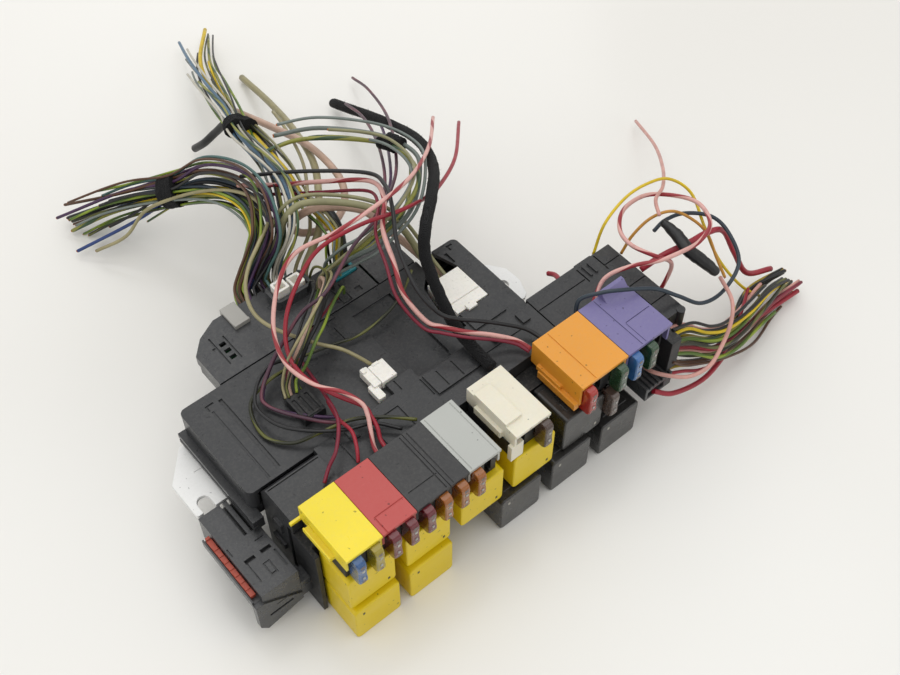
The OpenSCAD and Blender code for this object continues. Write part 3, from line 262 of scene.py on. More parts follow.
# ---- routes of the free wires ----
# name, outer diameter in mm, colour, stiffness, length in mm (0 where the wire isn't declared), route in mm
ROUTES = [
    ("left_black", 4.4, "ink", "stiff", 244, [(62, 169.5, 60), (64, 177, 64), (70, 179, 71), (78, 179, 81),
        (87, 184, 88), (95, 204, 86), (97, 233, 75), (90, 259, 64), (76, 279, 49), (57, 312, 26),
        (29, 340, 6)]),
    ("left_blue", 2.4, "navy", "limp", 228, [(67, 169.5, 57), (70, 179, 59), (78, 181, 67), (87, 183, 75),
        (94, 189, 81), (97, 212, 79), (94, 239, 67), (88, 263, 55), (78, 281, 41), (54, 297, 21),
        (20, 314, 4)]),
    ("left_brown", 2.2, "brown", "limp", 256, [(57, 169.5, 61), (59, 177, 65), (65, 179, 73),
        (73, 180, 83), (81, 183, 92), (92, 201, 96), (98, 229, 85), (94, 260, 70), (83, 281, 54),
        (59, 312, 32), (32, 348, 10)]),
    ("left_green", 2.8, "green_dark", "medium", 225, [(58, 169.5, 56), (61, 179, 58), (69, 184, 66),
        (78, 189, 74), (85, 196, 79), (90, 216, 77), (88, 247, 63), (73, 282, 41), (50, 313, 20),
        (26, 331, 4)]),
    ("left_purple", 2.2, "violet", "limp", 266, [(71, 169.5, 61), (72, 176, 66), (77, 175, 76),
        (83, 173, 87), (88, 176, 97), (95, 196, 102), (98, 226, 93), (92, 260, 75), (78, 280, 54),
        (59, 309, 36), (23, 343, 8)]),
    ("fan_yellow", 3.2, "yellow", "medium", 336, [(107, 153.5, 62.5), (108, 154, 80), (112, 158, 89),
        (113, 167, 91), (114, 187, 89), (124, 223, 80), (131, 268, 68), (134, 299, 58), (148, 348, 42),
        (165, 389, 28), (196, 436, 8)]),
    ("fan_green", 2.2, "green_dark", "limp", 320, [(76, 169.5, 57.5), (80, 176, 60), (85, 179, 70),
        (92, 180, 80), (97, 185, 87), (110, 210, 86), (119, 236, 81), (127, 270, 71), (141, 308, 59),
        (159, 358, 40), (169, 383, 30), (194, 429, 8)]),
    ("fan_blue", 2.4, "blue_pale", "limp", 332, [(80, 169.5, 60), (82, 174, 65), (86, 174, 76),
        (92, 172, 88), (98, 176, 96), (108, 197, 97), (115, 223, 89), (122, 268, 74), (135, 303, 62),
        (146, 348, 46), (159, 394, 28), (174, 436, 8)]),
    ("cable_grey", 5.4, "ink", "stiff", 232, [(112, 153.5, 62.5), (115, 157, 78), (119, 166, 84),
        (121, 179, 85), (119, 198, 80), (122, 223, 73), (133, 254, 67), (139, 282, 59), (138, 307, 48),
        (133, 320, 32), (127, 328, 20), (124, 339, 8)]),
    ("cable_olive", 4.6, "beige", "medium", 272, [(91.5, 160.5, 57), (95, 167, 63), (104, 170, 73),
        (113, 175, 79), (127, 195, 75), (149, 232, 61), (166, 278, 43), (180, 329, 22), (190, 382, 3)]),
    ("cable_pink", 4.6, "pink_beige", "medium", 311, [(154.5, 113.5, 57), (153, 123, 60), (149, 130, 67),
        (144, 135, 76), (139, 140, 84), (136, 147, 90), (131, 159, 94), (121, 168, 96), (110, 175, 96),
        (103, 181, 89), (101, 185, 80), (107, 184, 71), (120, 182, 67), (132, 183, 69), (142, 191, 72),
        (150, 210, 70), (155, 245, 62), (153, 285, 50), (149, 329, 36)]),
    ("cable_taped", 7, "tape", "medium", 335, [(127, 46, 72.5), (127, 61, 74), (127, 75, 78),
        (128, 87, 87), (130, 98, 96), (133, 107, 104), (141, 116, 110), (159, 133, 107), (183, 161, 92),
        (204, 201, 69), (216, 249, 41), (222, 317, 6)]),
    ("conn_olive", 4, "olive_pale", "medium", 167, [(149, 113.5, 60), (148, 122, 65), (146, 127, 73),
        (143, 130, 84), (139, 133, 95), (135, 139, 102), (129, 149, 106), (118, 163, 106), (105, 176, 103),
        (95, 178, 98), (89, 177, 89), (84, 177, 80), (78, 177, 69), (74, 176, 58), (74, 172, 52)]),
    ("pair_pink", 3, "pink_red", "limp", 242, [(150.5, 42, 71.5), (147, 50, 74), (138, 58, 78),
        (127, 66, 82), (118, 75, 85), (113, 82, 87), (110, 96, 98), (115, 110, 107), (121, 126, 114),
        (135, 143, 114), (141, 164, 106), (125, 189, 96), (109, 207, 90), (95, 229, 81)]),
    ("wire_black", 2.6, "ink", "limp", 242, [(160, 42, 71.5), (156, 52, 74), (147, 60, 78), (136, 67, 83),
        (127, 73, 86), (119, 79, 92), (116, 93, 101), (121, 114, 113), (130, 129, 121), (139, 147, 118),
        (141, 167, 110), (119, 198, 101), (96, 226, 90)]),
    ("short_green", 3, "green_dark", "limp", 233, [(96, 152, 65.5), (98, 150, 76), (102, 144, 85),
        (108, 139, 93), (117, 135, 99), (139, 133, 109), (164, 150, 103), (176, 177, 93), (174, 205, 84),
        (146, 236, 80), (120, 246, 76)]),
    ("short_grey", 3, "grey", "limp", 229, [(100.5, 150, 65.5), (102, 148, 75), (107, 143, 83),
        (114, 138, 89), (123, 134, 94), (145, 134, 104), (171, 158, 96), (185, 181, 87), (183, 211, 79),
        (161, 241, 76), (137, 255, 74)]),
    ("red_white", 2.6, "pink_red", "limp", 345, [(50, 41.5, 71.5), (51, 47, 73), (54, 53, 77),
        (57, 59, 81), (58, 65, 84), (54, 75, 86), (45, 87, 88), (41, 104, 91), (46, 120, 99),
        (61, 135, 109), (76, 139, 118), (96, 131, 126), (124, 131, 128), (157, 147, 113), (194, 178, 88),
        (232, 221, 56)]),
    ("red_plain", 2.6, "red", "limp", 354, [(55, 41.5, 72), (56, 48, 73), (58, 53, 76), (59, 59, 78),
        (59, 65, 80), (52, 79, 81), (46, 96, 83), (47, 111, 87), (56, 124, 95), (71, 133, 104),
        (89, 138, 112), (112, 133, 118), (135, 129, 116), (162, 140, 99), (182, 152, 87), (213, 177, 68),
        (254, 222, 38)]),
    ("purple_a", 2.2, "plum", "limp", 413, [(46, 70, 72), (41, 75, 72), (35, 83, 72), (29, 92, 72),
        (25, 101, 72), (26, 107, 74), (38, 115, 80), (53, 120, 88), (66, 123, 94), (81, 123, 98),
        (107, 134, 104), (126, 138, 109), (145, 151, 105), (171, 179, 89), (213, 242, 51), (237, 295, 24),
        (248, 330, 5)]),
    ("purple_b", 2.2, "plum", "limp", 0, [(131, 148, 96), (144, 156, 96), (165, 183, 84), (187, 220, 66),
        (206, 260, 44), (217, 295, 24)]),
    ("beige", 2.4, "beige", "limp", 303, [(82.5, 88.5, 68), (78, 93, 74), (73, 103, 76), (64, 114, 78),
        (53, 133, 80), (50, 147, 82), (54, 159, 87), (63, 168, 91), (75, 176, 93), (89, 187, 94),
        (93, 209, 89), (90, 236, 75), (79, 262, 58), (61, 286, 37), (45, 290, 21), (28, 303, 8)]),
    ("thin_yellow", 1.8, "olive", "limp", 0, [(131.5, 116.5, 82), (120, 112, 74), (106, 109, 70),
        (89, 109, 68), (74, 113, 68), (57, 117, 68)]),
    ("olive_loop", 2.2, "olive", "limp", 127, [(77.5, 46, 72), (66, 56, 74), (52, 65, 75), (36, 71, 72),
        (23, 77, 68), (15, 89, 67), (17, 104, 68), (23, 111, 70), (35, 112, 74), (45, 113, 72)]),
    ("green_loop", 2.2, "ink", "limp", 116, [(68.5, 46.5, 72), (59, 57, 74), (45, 63, 75), (31, 74, 75),
        (22, 88, 73), (20, 103, 73), (27, 112, 76), (39, 119, 74), (49, 119, 71)]),
    ("red_to_yellow", 2.2, "wine", "limp", 85, [(20, 46, 73), (26, 50, 76), (34, 54, 80), (44, 66, 82),
        (49, 83, 78), (53, 103, 72), (55, 115, 70)]),
    ("red_to_red", 2.2, "red", "limp", 0, [(39.5, 44.5, 73), (43, 50, 77), (46, 58, 79), (46, 69, 77),
        (50, 84, 72)]),
    ("bunch_a", 2.6, "pink_beige", "limp", 101, [(38.5, 99.5, 68), (41, 105, 72), (47, 108, 81),
        (55, 110, 90), (64, 115, 94), (84, 131, 90), (90, 139, 85), (92, 146, 78), (92, 148, 67)]),
    ("bunch_b", 2.6, "ink", "limp", 88, [(43.5, 99.5, 68), (46, 106, 72), (52, 108, 79), (60, 111, 87),
        (69, 116, 88), (78, 124, 86), (87, 133, 81), (95, 141, 75), (98, 144, 67)]),
    ("right_yellow", 4.2, "yellow", "medium", 127, [(218.5, 6, 59.5), (234, 6, 54), (246, 1, 46),
        (261, -1, 39), (284, 1, 33), (312, 7, 25), (334, 10, 14)]),
    ("right_green", 4.8, "green_lime", "medium", 137, [(218.5, 6, 54), (235, 4, 46), (249, -2, 39),
        (266, -2, 32), (290, 3, 26), (318, 11, 16), (341, 16, 3)]),
    ("right_red", 4.4, "red", "medium", 134, [(218.5, 6, 48.5), (235, 3, 39), (249, -3, 32), (266, -4, 27),
        (286, -1, 22), (313, 4, 16), (343, 6, 9)]),
    ("right_olive", 2.4, "olive", "limp", 134, [(218.5, 8.5, 44.5), (235, 2, 33), (249, -3, 28),
        (265, -4, 22), (286, 0, 17), (308, 5, 13), (342, 11, 6)]),
    ("right_brown", 2.4, "brown", "limp", 133, [(218.5, 3.5, 44.5), (229, 1, 33), (246, -4, 26),
        (265, -4, 18), (287, -1, 10), (313, 5, 3), (339, 7, 2)]),
    ("right_black", 5, "ink", "medium", 125, [(219, 5, 33), (230, 4, 28), (241, 1, 22), (251, -0, 18),
        (268, 2, 20), (285, 9, 23), (307, 17, 20), (336, 15, 17)]),
    ("plug_pink", 2.6, "pink", "limp", 104, [(206, 13, 40.5), (204, 2, 46), (209, -7, 47), (218, -13, 45),
        (231, -15, 45), (243, -12, 50), (254, -7, 57), (262, 1, 62), (269, 16, 62)]),
    ("plug_red", 3.4, "red", "medium", 144, [(203, -2.5, 33), (216, -7, 24), (240, -8, 16), (264, -3, 12),
        (288, 4, 10), (310, 4, 9), (340, 4, 5)]),
    ("sleeve", 8, "ink", "stiff", 0, [(265.5, 16.5, 68), (262, 23, 73), (258, 33, 78), (259, 44, 81),
        (259, 54, 82)]),
    ("pink_top", 2.4, "pink", "limp", 186, [(256.5, 55.5, 88), (262, 64, 90), (277, 72, 84), (302, 93, 66),
        (335, 127, 38), (369, 172, 5)]),
    ("blue_grey", 2.6, "slate", "limp", 200, [(182, 42, 73), (186, 44, 82), (194, 38, 87), (203, 32, 88),
        (223, 25, 80), (236, 18, 70), (249, 11, 60), (266, 10, 58), (284, 16, 63), (291, 31, 69),
        (290, 44, 73), (278, 54, 76), (265, 57, 77), (255, 56, 76)]),
    ("red_striped", 2.8, "pink_red", "limp", 239, [(196, 43.5, 67.5), (210, 49, 76), (223, 43, 82),
        (236, 35, 84), (248, 30, 87), (256, 26, 93), (268, 30, 95), (278, 46, 90), (277, 61, 85),
        (267, 75, 81), (252, 77, 78), (239, 67, 79), (236, 55, 79), (241, 42, 78), (248, 37, 73),
        (250, 36, 67), (248, 36, 59), (244, 36, 52), (238, 36, 50)]),
    ("red_thick", 3.6, "red", "medium", 130, [(239, 48, 62), (251, 44, 69), (265, 38, 75), (279, 37, 74),
        (294, 37, 64), (300, 30, 47), (308, 23, 29), (331, 21, 17)]),
    ("yellow_thin", 2, "yellow", "limp", 188, [(226.5, 73, 62), (236, 76, 78), (253, 78, 86),
        (268, 76, 89), (283, 73, 85), (291, 62, 77), (285, 44, 68), (284, 29, 54), (295, 16, 33),
        (317, 11, 9)]),
    ("orange_thin", 2, "orange", "limp", 93, [(239, 63.5, 62), (246, 63, 73), (257, 61, 81), (268, 56, 83),
        (276, 48, 78), (281, 39, 70), (280, 28, 59), (278, 18, 52)]),
    ("red_stub", 3.4, "red", "limp", 0, [(206, 72, 50), (208, 79, 48), (211, 86, 44), (211, 92, 40)]),
]
# the routes before this one belong to the left harness
FIRST_RIGHT = [r[0] for r in ROUTES].index("right_yellow")
LEFT = {r[0] for r in ROUTES[:FIRST_RIGHT]}


# ---- the materials of this part ----
DARK = dict(rough=0.31, grain=0.2, vary=0.03, scuff=0.25, dust=0.08, wear=0.6)
plastic("tray_plastic", "#2d2e30", **DARK)
plastic("module_plastic", "#3b3c3e", rough=0.28, grain=0.2, vary=0.04, scuff=0.3, dust=0.12, wear=0.7)
plastic("housing_plastic", "#1a1b1d", rough=0.5, grain=0.3, dust=0.15)
plastic("bracket_plastic", "#f2f2f0", rough=0.35, vary=0.03, scuff=0.15, dust=0.12, dust_colour="#a8a49a",
        wear=0.1)
plastic("lock_plastic", "#a84632", rough=0.45, vary=0.1)
plastic("white_plastic", "#f3f0e8", rough=0.4, vary=0.04, scuff=0.2, dust=0.2, dust_colour="#9d9687",
        wear=0.1, sss=0.1)
plastic("teal_plastic", "#2f8f9a", rough=0.4)
plastic("grey_plastic", "#a5a39d", rough=0.45, vary=0.06)
plastic("yellow_cover", "#eed72e", rough=0.32, grain=0.1, vary=0.05, scuff=0.25, dust=0.1, wear=0.3, sss=0.08)
plastic("red_cover", "#b64a46", rough=0.4, vary=0.02, scuff=0.25, dust=0.04, wear=0.3)
plastic("black_cover", "#2b2b2c", rough=0.36, vary=0.02, scuff=0.25, dust=0.07)
plastic("grey_cover", "#b0b2ad", rough=0.45, vary=0.05, scuff=0.25, dust=0.12)
plastic("cream_cover", "#e3ddca", rough=0.32, vary=0.03, scuff=0.2, dust=0.1, dust_colour="#b5a784",
        wear=0.1, sss=0.2)
plastic("orange_cover", "#e0972f", rough=0.36, vary=0.03, scuff=0.25, dust=0.1, sss=0.08)
plastic("purple_cover", "#746d9b", rough=0.4, vary=0.04, scuff=0.3, dust=0.1)
plastic("relay_yellow", "#dfc200", rough=0.42, grain=0.06, vary=0.03, scuff=0.05, dust=0.0, wear=0.2,
        sss=0.05)
plastic("relay_black", "#262524", rough=0.28, grain=0.08, vary=0.03, scuff=0.25, dust=0.05, coat=0.2)
plastic("relay_base", "#1e1e1f", rough=0.5, grain=0.2)
plastic("wire_insulation", "#3a3a30")
plastic("fuse_scuff", "#6d625c", rough=0.5, vary=0.3, scuff=0.6)
plastic("mark_dark", "#3a3620", rough=0.5)
plastic("mark_pale", "#a9a69c", rough=0.5)
plastic("shrink", "#161617", rough=0.38, grain=0.4, vary=0.1, dust=0.05)
plastic("circuit_board", "#24603a", rough=0.35, vary=0.1)
metal("contact_brass", "#c9a24a")
metal("screw_steel", "#8f9193", rough=0.35)
metal("blade_tin", "#b9b9b6")
metal("copper", "#c8763f")
cloth_tape("tape", "#1a1a1c")

FUSE = {"blue": "#345f94", "clear_yellow": "#a8972c", "dark_red": "#6e1622", "red": "#b32a1e",
        "orange": "#a8621c", "brown": "#4a352b", "grey": "#5e4c44", "green": "#2f4f33",
        "light_blue": "#3b70ad"}
for _name, _colour in FUSE.items():
    plastic("fuse_" + _name, _colour, rough=0.22, grain=0.08, vary=0.25, scuff=0.5, dust=0.0, wear=0.6,
            wear_colour="#c9c6c2", coat=0.5, trans=0.3, sss=0.1)

# wire colours and the colours of their stripes
WIRE = {"ink": "#1b1b1d", "navy": "#2c4580", "slate": "#2a3844", "brown": "#5a3a24", "violet": "#4a2c52",
        "yellow": "#e3c318", "blue_pale": "#5a7a94", "beige": "#a39a72", "pink_beige": "#cfae9a",
        "olive_pale": "#93906a", "grey": "#7b8580", "red": "#a01c30", "wine": "#7e1730", "pink": "#d9a196",
        "orange": "#c98f35", "white": "#cfcabb", "teal": "#4a6e6a", "green_dark": "#3f5a3a",
        "pink_red": "#a3323a", "plum": "#6e3a48", "olive": "#66682e", "green_lime": "#8ea22e",
        "black_yellow": "#1d1d1a"}
STRIPE = {"green_dark": "#8a8a3c", "pink_red": "#d9a79f", "plum": "#4a2c3c", "olive": "#2a2c1c",
          "green_lime": "#55702a", "black_yellow": "#a58f22"}
for _name, _colour in WIRE.items():
    insulation("wire_" + _name, _colour, STRIPE.get(_name))


# ---- mesh helpers ----
def link(o):
    bpy.context.scene.collection.objects.link(o)
    return o


def finish_mesh(name, bm, mats, body, replaces=()):
    """The bmesh as an object that rides on a body, in place of the CAD nodes named."""
    me = bpy.data.meshes.new(name)
    bm.normal_update()
    bm.to_mesh(me)
    bm.free()
    for m in mats:
        me.materials.append(MATS[m])
    o = link(bpy.data.objects.new(name, me))
    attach(o, body)
    if replaces:
        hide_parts(*replaces)
    return o


def round_mesh(name, verts, faces, mats):
    """A mesh on the panel whose four-cornered faces are shaded smoothly."""
    me = bpy.data.meshes.new(name)
    me.from_pydata([tuple(v) for v in verts], [], faces)
    me.polygons.foreach_set("use_smooth", [len(f) == 4 for f in faces])
    for m in mats:
        me.materials.append(MATS[m])
    o = link(bpy.data.objects.new(name, me))
    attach(o, "panel")
    return o


def tube_faces(rings, sides):
    """Side faces of a tube that is made of rings of corners, and its two end faces."""
    faces = []
    for i in range(rings - 1):
        for k in range(sides):
            a, b = i * sides + k, i * sides + (k + 1) % sides
            faces.append((a, b, b + sides, a + sides))
    return faces + [tuple(range(sides))[::-1], tuple((rings - 1) * sides + k for k in range(sides))]


def bevel(o, width, segments=2, angle=30.0):
    m = o.modifiers.new("bevel", "BEVEL")
    m.width, m.segments = width, segments
    m.limit_method, m.angle_limit = "ANGLE", math.radians(angle)
    m.use_clamp_overlap = True
    m.miter_outer = "MITER_ARC"


def box(bm, lo, hi, mat=0):
    lo, hi = Vector(lo), Vector(hi)
    place = Matrix.Translation((lo + hi) / 2) @ Matrix.Diagonal((*(hi - lo), 1))
    verts = bmesh.ops.create_cube(bm, size=1.0, matrix=place)["verts"]
    for f in {f for v in verts for f in v.link_faces}:
        f.material_index = mat
    return verts


def blade(bm, lo, hi, shrink_x, shrink_z, mat=0):
    """A flat blade along y whose far tip is drawn in by the two shares."""
    lo, hi = Vector(lo), Vector(hi)
    mid = (lo + hi) / 2
    for v in box(bm, lo, hi, mat):
        if v.co.y > hi.y - 1e-5:
            v.co.x = mid.x + (v.co.x - mid.x) * shrink_x
            v.co.z = mid.z + (v.co.z - mid.z) * shrink_z


def rounded_prism(bm, lo, hi, r, taper=0.0):
    """A box along y with its four long edges rounded; taper draws its near end in."""
    steps = 5
    rings = []
    for end, t in ((lo[1], taper), (hi[1], 0.0)):
        ring = []
        for cx, cz, q in ((hi[0], hi[2], 0), (lo[0], hi[2], 1), (lo[0], lo[2], 2), (hi[0], lo[2], 3)):
            sx, sz = (-1 if q in (0, 3) else 1), (-1 if q in (0, 1) else 1)
            ox, oz = cx + sx * (r + t), cz + sz * (r + t)
            for k in range(steps + 1):
                w = TURN / 4 * (q + k / steps)
                ring.append(bm.verts.new((ox + r * math.cos(w), end, oz + r * math.sin(w))))
        rings.append(ring)
    near, far = rings
    n = len(near)
    faces = [bm.faces.new([near[i], near[(i + 1) % n], far[(i + 1) % n], far[i]]) for i in range(n)]
    faces += [bm.faces.new(near[::-1]), bm.faces.new(far)]
    bmesh.ops.recalc_face_normals(bm, faces=faces)


# ---- body, covers and connectors ----
SLOT = {s["node"]: s["material_slot"] for s in frame["record"]["subparts"]}
BODY = {n: b for b, ns in frame["record"]["behaviour"]["bodies"].items() for n in ns}


def dress(node, width, segments=2):
    """A copy of a CAD node's surface with its flat faces joined up and its edges softened."""
    bm = bmesh.new()
    bm.from_mesh(frame["nodes"][node].data)
    bmesh.ops.remove_doubles(bm, verts=bm.verts, dist=1e-6)
    bmesh.ops.dissolve_limit(bm, angle_limit=math.radians(1.0), verts=bm.verts, edges=bm.edges)
    for f in bm.faces:
        f.material_index = 0
    o = finish_mesh("shell_" + node, bm, [SLOT[node]], BODY[node], [node])
    bevel(o, width * MM, segments, 28.0)


for _node in ("module_base", "circuit_board", "underside_housing", "right_end_housing", "right_plug",
              "mounting_bracket", "small_header", "small_plug", "rear_white_plug",
              "teal_insert", "grey_clip", "terminal_block"):
    dress(_node, 0.5 if _node == "mounting_bracket" else 0.3)
dress("connector_lock", 0.2)
for _node in SLOT:
    if _node.startswith("cover_") and _node != "cover_screws":
        dress(_node, 0.45, 3)
# these keep the CAD node's own mesh
for _node in ("white_connector", "contact_sleeves", "busbar", "cover_screws", "tray_base", "tray_cover",
              "module_cover", "socket_board", "fuse_sockets", "left_block", "middle_cover", "right_block",
              "left_connector"):
    for _slot in frame["nodes"][_node].material_slots:
        _slot.material = MATS[SLOT[_node]]


# ---- relays ----
CASE = 28.0        # mm, width and height of a relay's case
RELAY_PIN = 11.0   # mm that its terminals stand out behind
RELAY_SHELF = 3.0  # mm of its dark base between the case and the terminals


def make_relay(node):
    lo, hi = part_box(node)
    body, mat = BODY[node], SLOT[node]
    front, pins = lo.y, hi.y - RELAY_PIN * MM
    case_back = pins - RELAY_SHELF * MM

    def at(x, y, z):
        """A place in mm from the case's low left corner, with y already in metres."""
        return (lo.x + x * MM, y, lo.z + z * MM)

    bm = bmesh.new()
    rounded_prism(bm, at(0, front + 0.7 * MM, 0), at(CASE, case_back, CASE), 2.2 * MM)
    # front panel, drawn in a little all round
    rounded_prism(bm, at(0, front + 0.1 * MM, 0), at(CASE, front + 0.75 * MM, CASE), 2.0 * MM, 0.55 * MM)
    # raised plate on top
    box(bm, at(5, front + 5 * MM, CASE - 0.1), (lo.x + 23 * MM, front + 11 * MM, hi.z))
    # one small generic mark: high on the left of a lower relay, low on the right of an upper one
    mx, mz = (22.8, 3.4) if "upper" in node else (4.6, 21.6)
    box(bm, at(mx, front, mz), at(mx + 1.5, front + 0.6 * MM, mz + 2.2), 1 if "yellow" in mat else 2)
    case = finish_mesh("case_" + node, bm, [mat, "mark_dark", "mark_pale"], body, [node])
    bevel(case, 0.35 * MM, 3, 25)

    bm = bmesh.new()
    rounded_prism(bm, at(0.8, case_back - 1 * MM, 0.8), at(CASE - 0.8, pins, CASE - 0.8), 1.4 * MM)
    # terminals: two upright and three lying, with chamfered tips
    lying, upright = (6.3, 0.8), (0.8, 6.3)
    for px, pz, (w, h) in ((0, -8.5, lying), (0, 8.5, lying), (-8.5, 0, upright), (8.5, 0, upright),
                           (0, 0, lying)):
        x, z = CASE / 2 + px, CASE / 2 + pz
        blade(bm, at(x - w / 2, pins - 0.3 * MM, z - h / 2), at(x + w / 2, hi.y, z + h / 2), 0.6, 0.6, 1)
    base = finish_mesh("base_" + node, bm, ["relay_base", "blade_tin"], body, [node])
    bevel(base, 0.2 * MM, 2, 30)


for _node in SLOT:
    if _node.startswith("relay_"):
        make_relay(_node)


# ---- fuses ----
# Outline of a fuse head along its height in mm: height, front, back; a crown at each end and a waist
HEAD = [(-9.55, 1.9, 6.8), (-8.8, 0.8, 8.0), (-7.6, 0.15, 8.3), (-5.2, 0.0, 8.3), (-2.0, 0.25, 8.3),
        (2.0, 0.25, 8.3), (5.2, 0.0, 8.3), (7.6, 0.15, 8.3), (8.8, 0.8, 8.0), (9.55, 1.9, 6.8)]
HEAD_DEPTH = 8.3
BLADE_OFF = 6.65  # mm from the middle to each blade


def make_fuse(node):
    lo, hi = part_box(node)
    body, mat = BODY[node], SLOT[node]
    cx, cz = (lo.x + hi.x) / 2, (lo.z + hi.z) / 2
    half = (hi.x - lo.x) / 2
    face = lo.y + 0.35 * MM
    back = face + HEAD_DEPTH * MM

    def block(bm, half_x, y0, y1, z0, z1):
        """A box about the middle of the fuse: x and z in mm, y in metres."""
        box(bm, (cx - half_x * MM, y0, cz + z0 * MM), (cx + half_x * MM, y1, cz + z1 * MM))

    bm = bmesh.new()
    rings = []
    for z, y0, y1 in HEAD:
        t = half * (0.93 if abs(z) < 3 else 1.0)
        outline = ((-1, y0 + 0.8), (-0.8, y0), (0.8, y0), (1, y0 + 0.8), (1, y1), (-1, y1))
        rings.append([bm.verts.new((cx + x * t, face + y * MM, cz + z * MM)) for x, y in outline])
    for a, b in zip(rings, rings[1:]):
        for i in range(6):
            bm.faces.new((a[i], a[(i + 1) % 6], b[(i + 1) % 6], b[i]))
    bm.faces.new(rings[0][::-1])
    bm.faces.new(rings[-1])
    bmesh.ops.recalc_face_normals(bm, faces=bm.faces)
    # neck that goes into the socket
    block(bm, 1.9, back - 0.4 * MM, back + 2.5 * MM, -7, 7)
    head = finish_mesh("head_" + node, bm, ["fuse_dark_red" if node == "fuse_04" else mat], body, [node])
    bevel(head, 0.25 * MM, 3, 20)

    bm = bmesh.new()
    for s in (-BLADE_OFF, BLADE_OFF):
        blade(bm, (cx - 0.32 * MM, back - 0.3 * MM, cz + (s - 2.6) * MM),
              (cx + 0.32 * MM, hi.y, cz + (s + 2.6) * MM), 1.0, 0.7)
        # small test point on the front
        point = math.copysign(3.2, s)
        block(bm, 0.75, lo.y + 0.12 * MM, lo.y + 0.8 * MM, point - 0.8, point + 0.8)
    blades = finish_mesh("blades_" + node, bm, ["blade_tin"], body, [node])
    bevel(blades, 0.12 * MM, 2, 30)

    # two worn bars on the front
    bm = bmesh.new()
    for z0, z1 in ((-7.6, -5.6), (5.6, 7.6)):
        block(bm, 1.1, face + 0.02 * MM, face + 0.5 * MM, z0, z1)
    bars = finish_mesh("plate_" + node, bm, ["fuse_scuff"], body, [node])
    bevel(bars, 0.12 * MM, 2, 30)


for _node in SLOT:
    if _node.startswith("fuse_") and _node != "fuse_sockets":
        make_fuse(_node)


# ---- wires ----
# Wires whose far end runs into the object, so that no bare copper shows
UNSEEN_END = {"conn_olive", "bunch_a", "bunch_b", "olive_loop", "green_loop", "red_to_yellow",
              "red_striped", "blue_grey", "plug_pink"}
# Thick runs that are really three wires lying together
STRANDS = {"left_black": ("ink", "ink", "slate"), "right_yellow": ("yellow", "olive", "ink"),
           "right_green": ("green_lime", "ink", "green_dark"), "right_red": ("red", "pink", "wine"),
           "right_black": ("ink", "black_yellow", "ink")}
STRIPE_TURNS = 25.0  # turns that a wire's stripe makes in a metre
TAPE_TURNS = 90.0    # turns of wound tape in a metre
TAPE_LUMP = 0.16     # share of the radius by which wound tape is uneven
CORES = []           # tip, direction and radius of every cut end
ALL_WIRES = []       # line, radius and name of every wire
LINES = {}           # the lines of the routes by name


def spline(p, steps=8):
    """The same smooth curve through the route points as the CAD solid follows."""
    p = [Vector(q) for q in p]
    n = len(p) - 1
    out = []
    for i in range(n):
        p0 = p[i - 1] if i else 2 * p[0] - p[1]
        p3 = p[i + 2] if i < n - 1 else 2 * p[n] - p[n - 1]
        p1, p2 = p[i], p[i + 1]
        for k in range(steps):
            t = k / steps
            out.append(0.5 * (2 * p1 + (p2 - p0) * t + (2 * p0 - 5 * p1 + 4 * p2 - p3) * t * t
                              + (3 * p1 - p0 - 3 * p2 + p3) * t ** 3))
    return out + [p[n]]


def frames(pts):
    """For every point of a line the direction along it and two directions across, without twist."""
    across, out = None, []
    for i in range(len(pts)):
        along = (pts[min(i + 1, len(pts) - 1)] - pts[max(i - 1, 0)]).normalized()
        if across is None:
            across = Vector((1, 0, 0)) if abs(along.z) > 0.9 else Vector((0, 0, 1))
        across = (across - along * across.dot(along)).normalized()
        out.append((along, across, along.cross(across)))
    return out


def tube_data(pts, radius, sides=12, taped=False):
    """Corners, faces and UVs of a closed tube; radius may be a function of the share of the way along."""
    verts, uvs, corner_uvs = [], [], []
    n, run = len(pts), 0.0
    for i, (p, (_, a, b)) in enumerate(zip(pts, frames(pts))):
        run += (p - pts[i - 1]).length if i else 0.0
        for k in range(sides):
            w = TURN * k / sides
            d = a * math.cos(w) + b * math.sin(w)
            reach = radius(i / (n - 1)) if callable(radius) else radius
            if taped:
                reach *= 1 - TAPE_LUMP * abs(noise.noise(p * 300 + d * 0.8))
                # the edge of the tape winds round as a low step
                reach *= 0.93 + 0.07 * ((run * TAPE_TURNS + k / sides) % 1.0)
            verts.append(p + d * reach)
            uvs.append((run * 20, k / sides + run * STRIPE_TURNS))
    for (u0, v0), (u1, v1) in zip(uvs, uvs[sides:]):
        corner_uvs += [(u0, v0), (u0, v0 + 1 / sides), (u1, v1 + 1 / sides), (u1, v1)]
    corner_uvs += [(0, 0)] * (2 * sides)
    return verts, tube_faces(n, sides), corner_uvs


def tubes(name, parts, mats):
    """One object made of several tube_data results, each in its own material."""
    verts, faces, uvs, index = [], [], [], []
    for k, (v, f, u) in enumerate(parts):
        faces += [tuple(i + len(verts) for i in face) for face in f]
        index += [k] * len(f)
        verts += v
        uvs += u
    o = round_mesh(name, verts, faces, mats)
    layer = o.data.uv_layers.new(name="UVMap")
    for corner, uv in zip(layer.data, uvs):
        corner.uv = uv
    o.data.polygons.foreach_set("material_index", index)
    o.data.update()
    return o


def tube(name, pts, radius, mat, **shape):
    return tubes(name, [tube_data(pts, radius, **shape)], [mat])


def cut_back(pts, length):
    """The line with its end moved back along its last piece."""
    pts = [p.copy() for p in pts]
    while len(pts) > 3 and (pts[-1] - pts[-2]).length <= length:
        length -= (pts[-1] - pts[-2]).length
        pts.pop()
    pts[-1] -= (pts[-1] - pts[-2]).normalized() * length
    return pts


def note_cut(line, tip, r):
    CORES.append((tip, (line[-1] - line[-2]).normalized(), r))


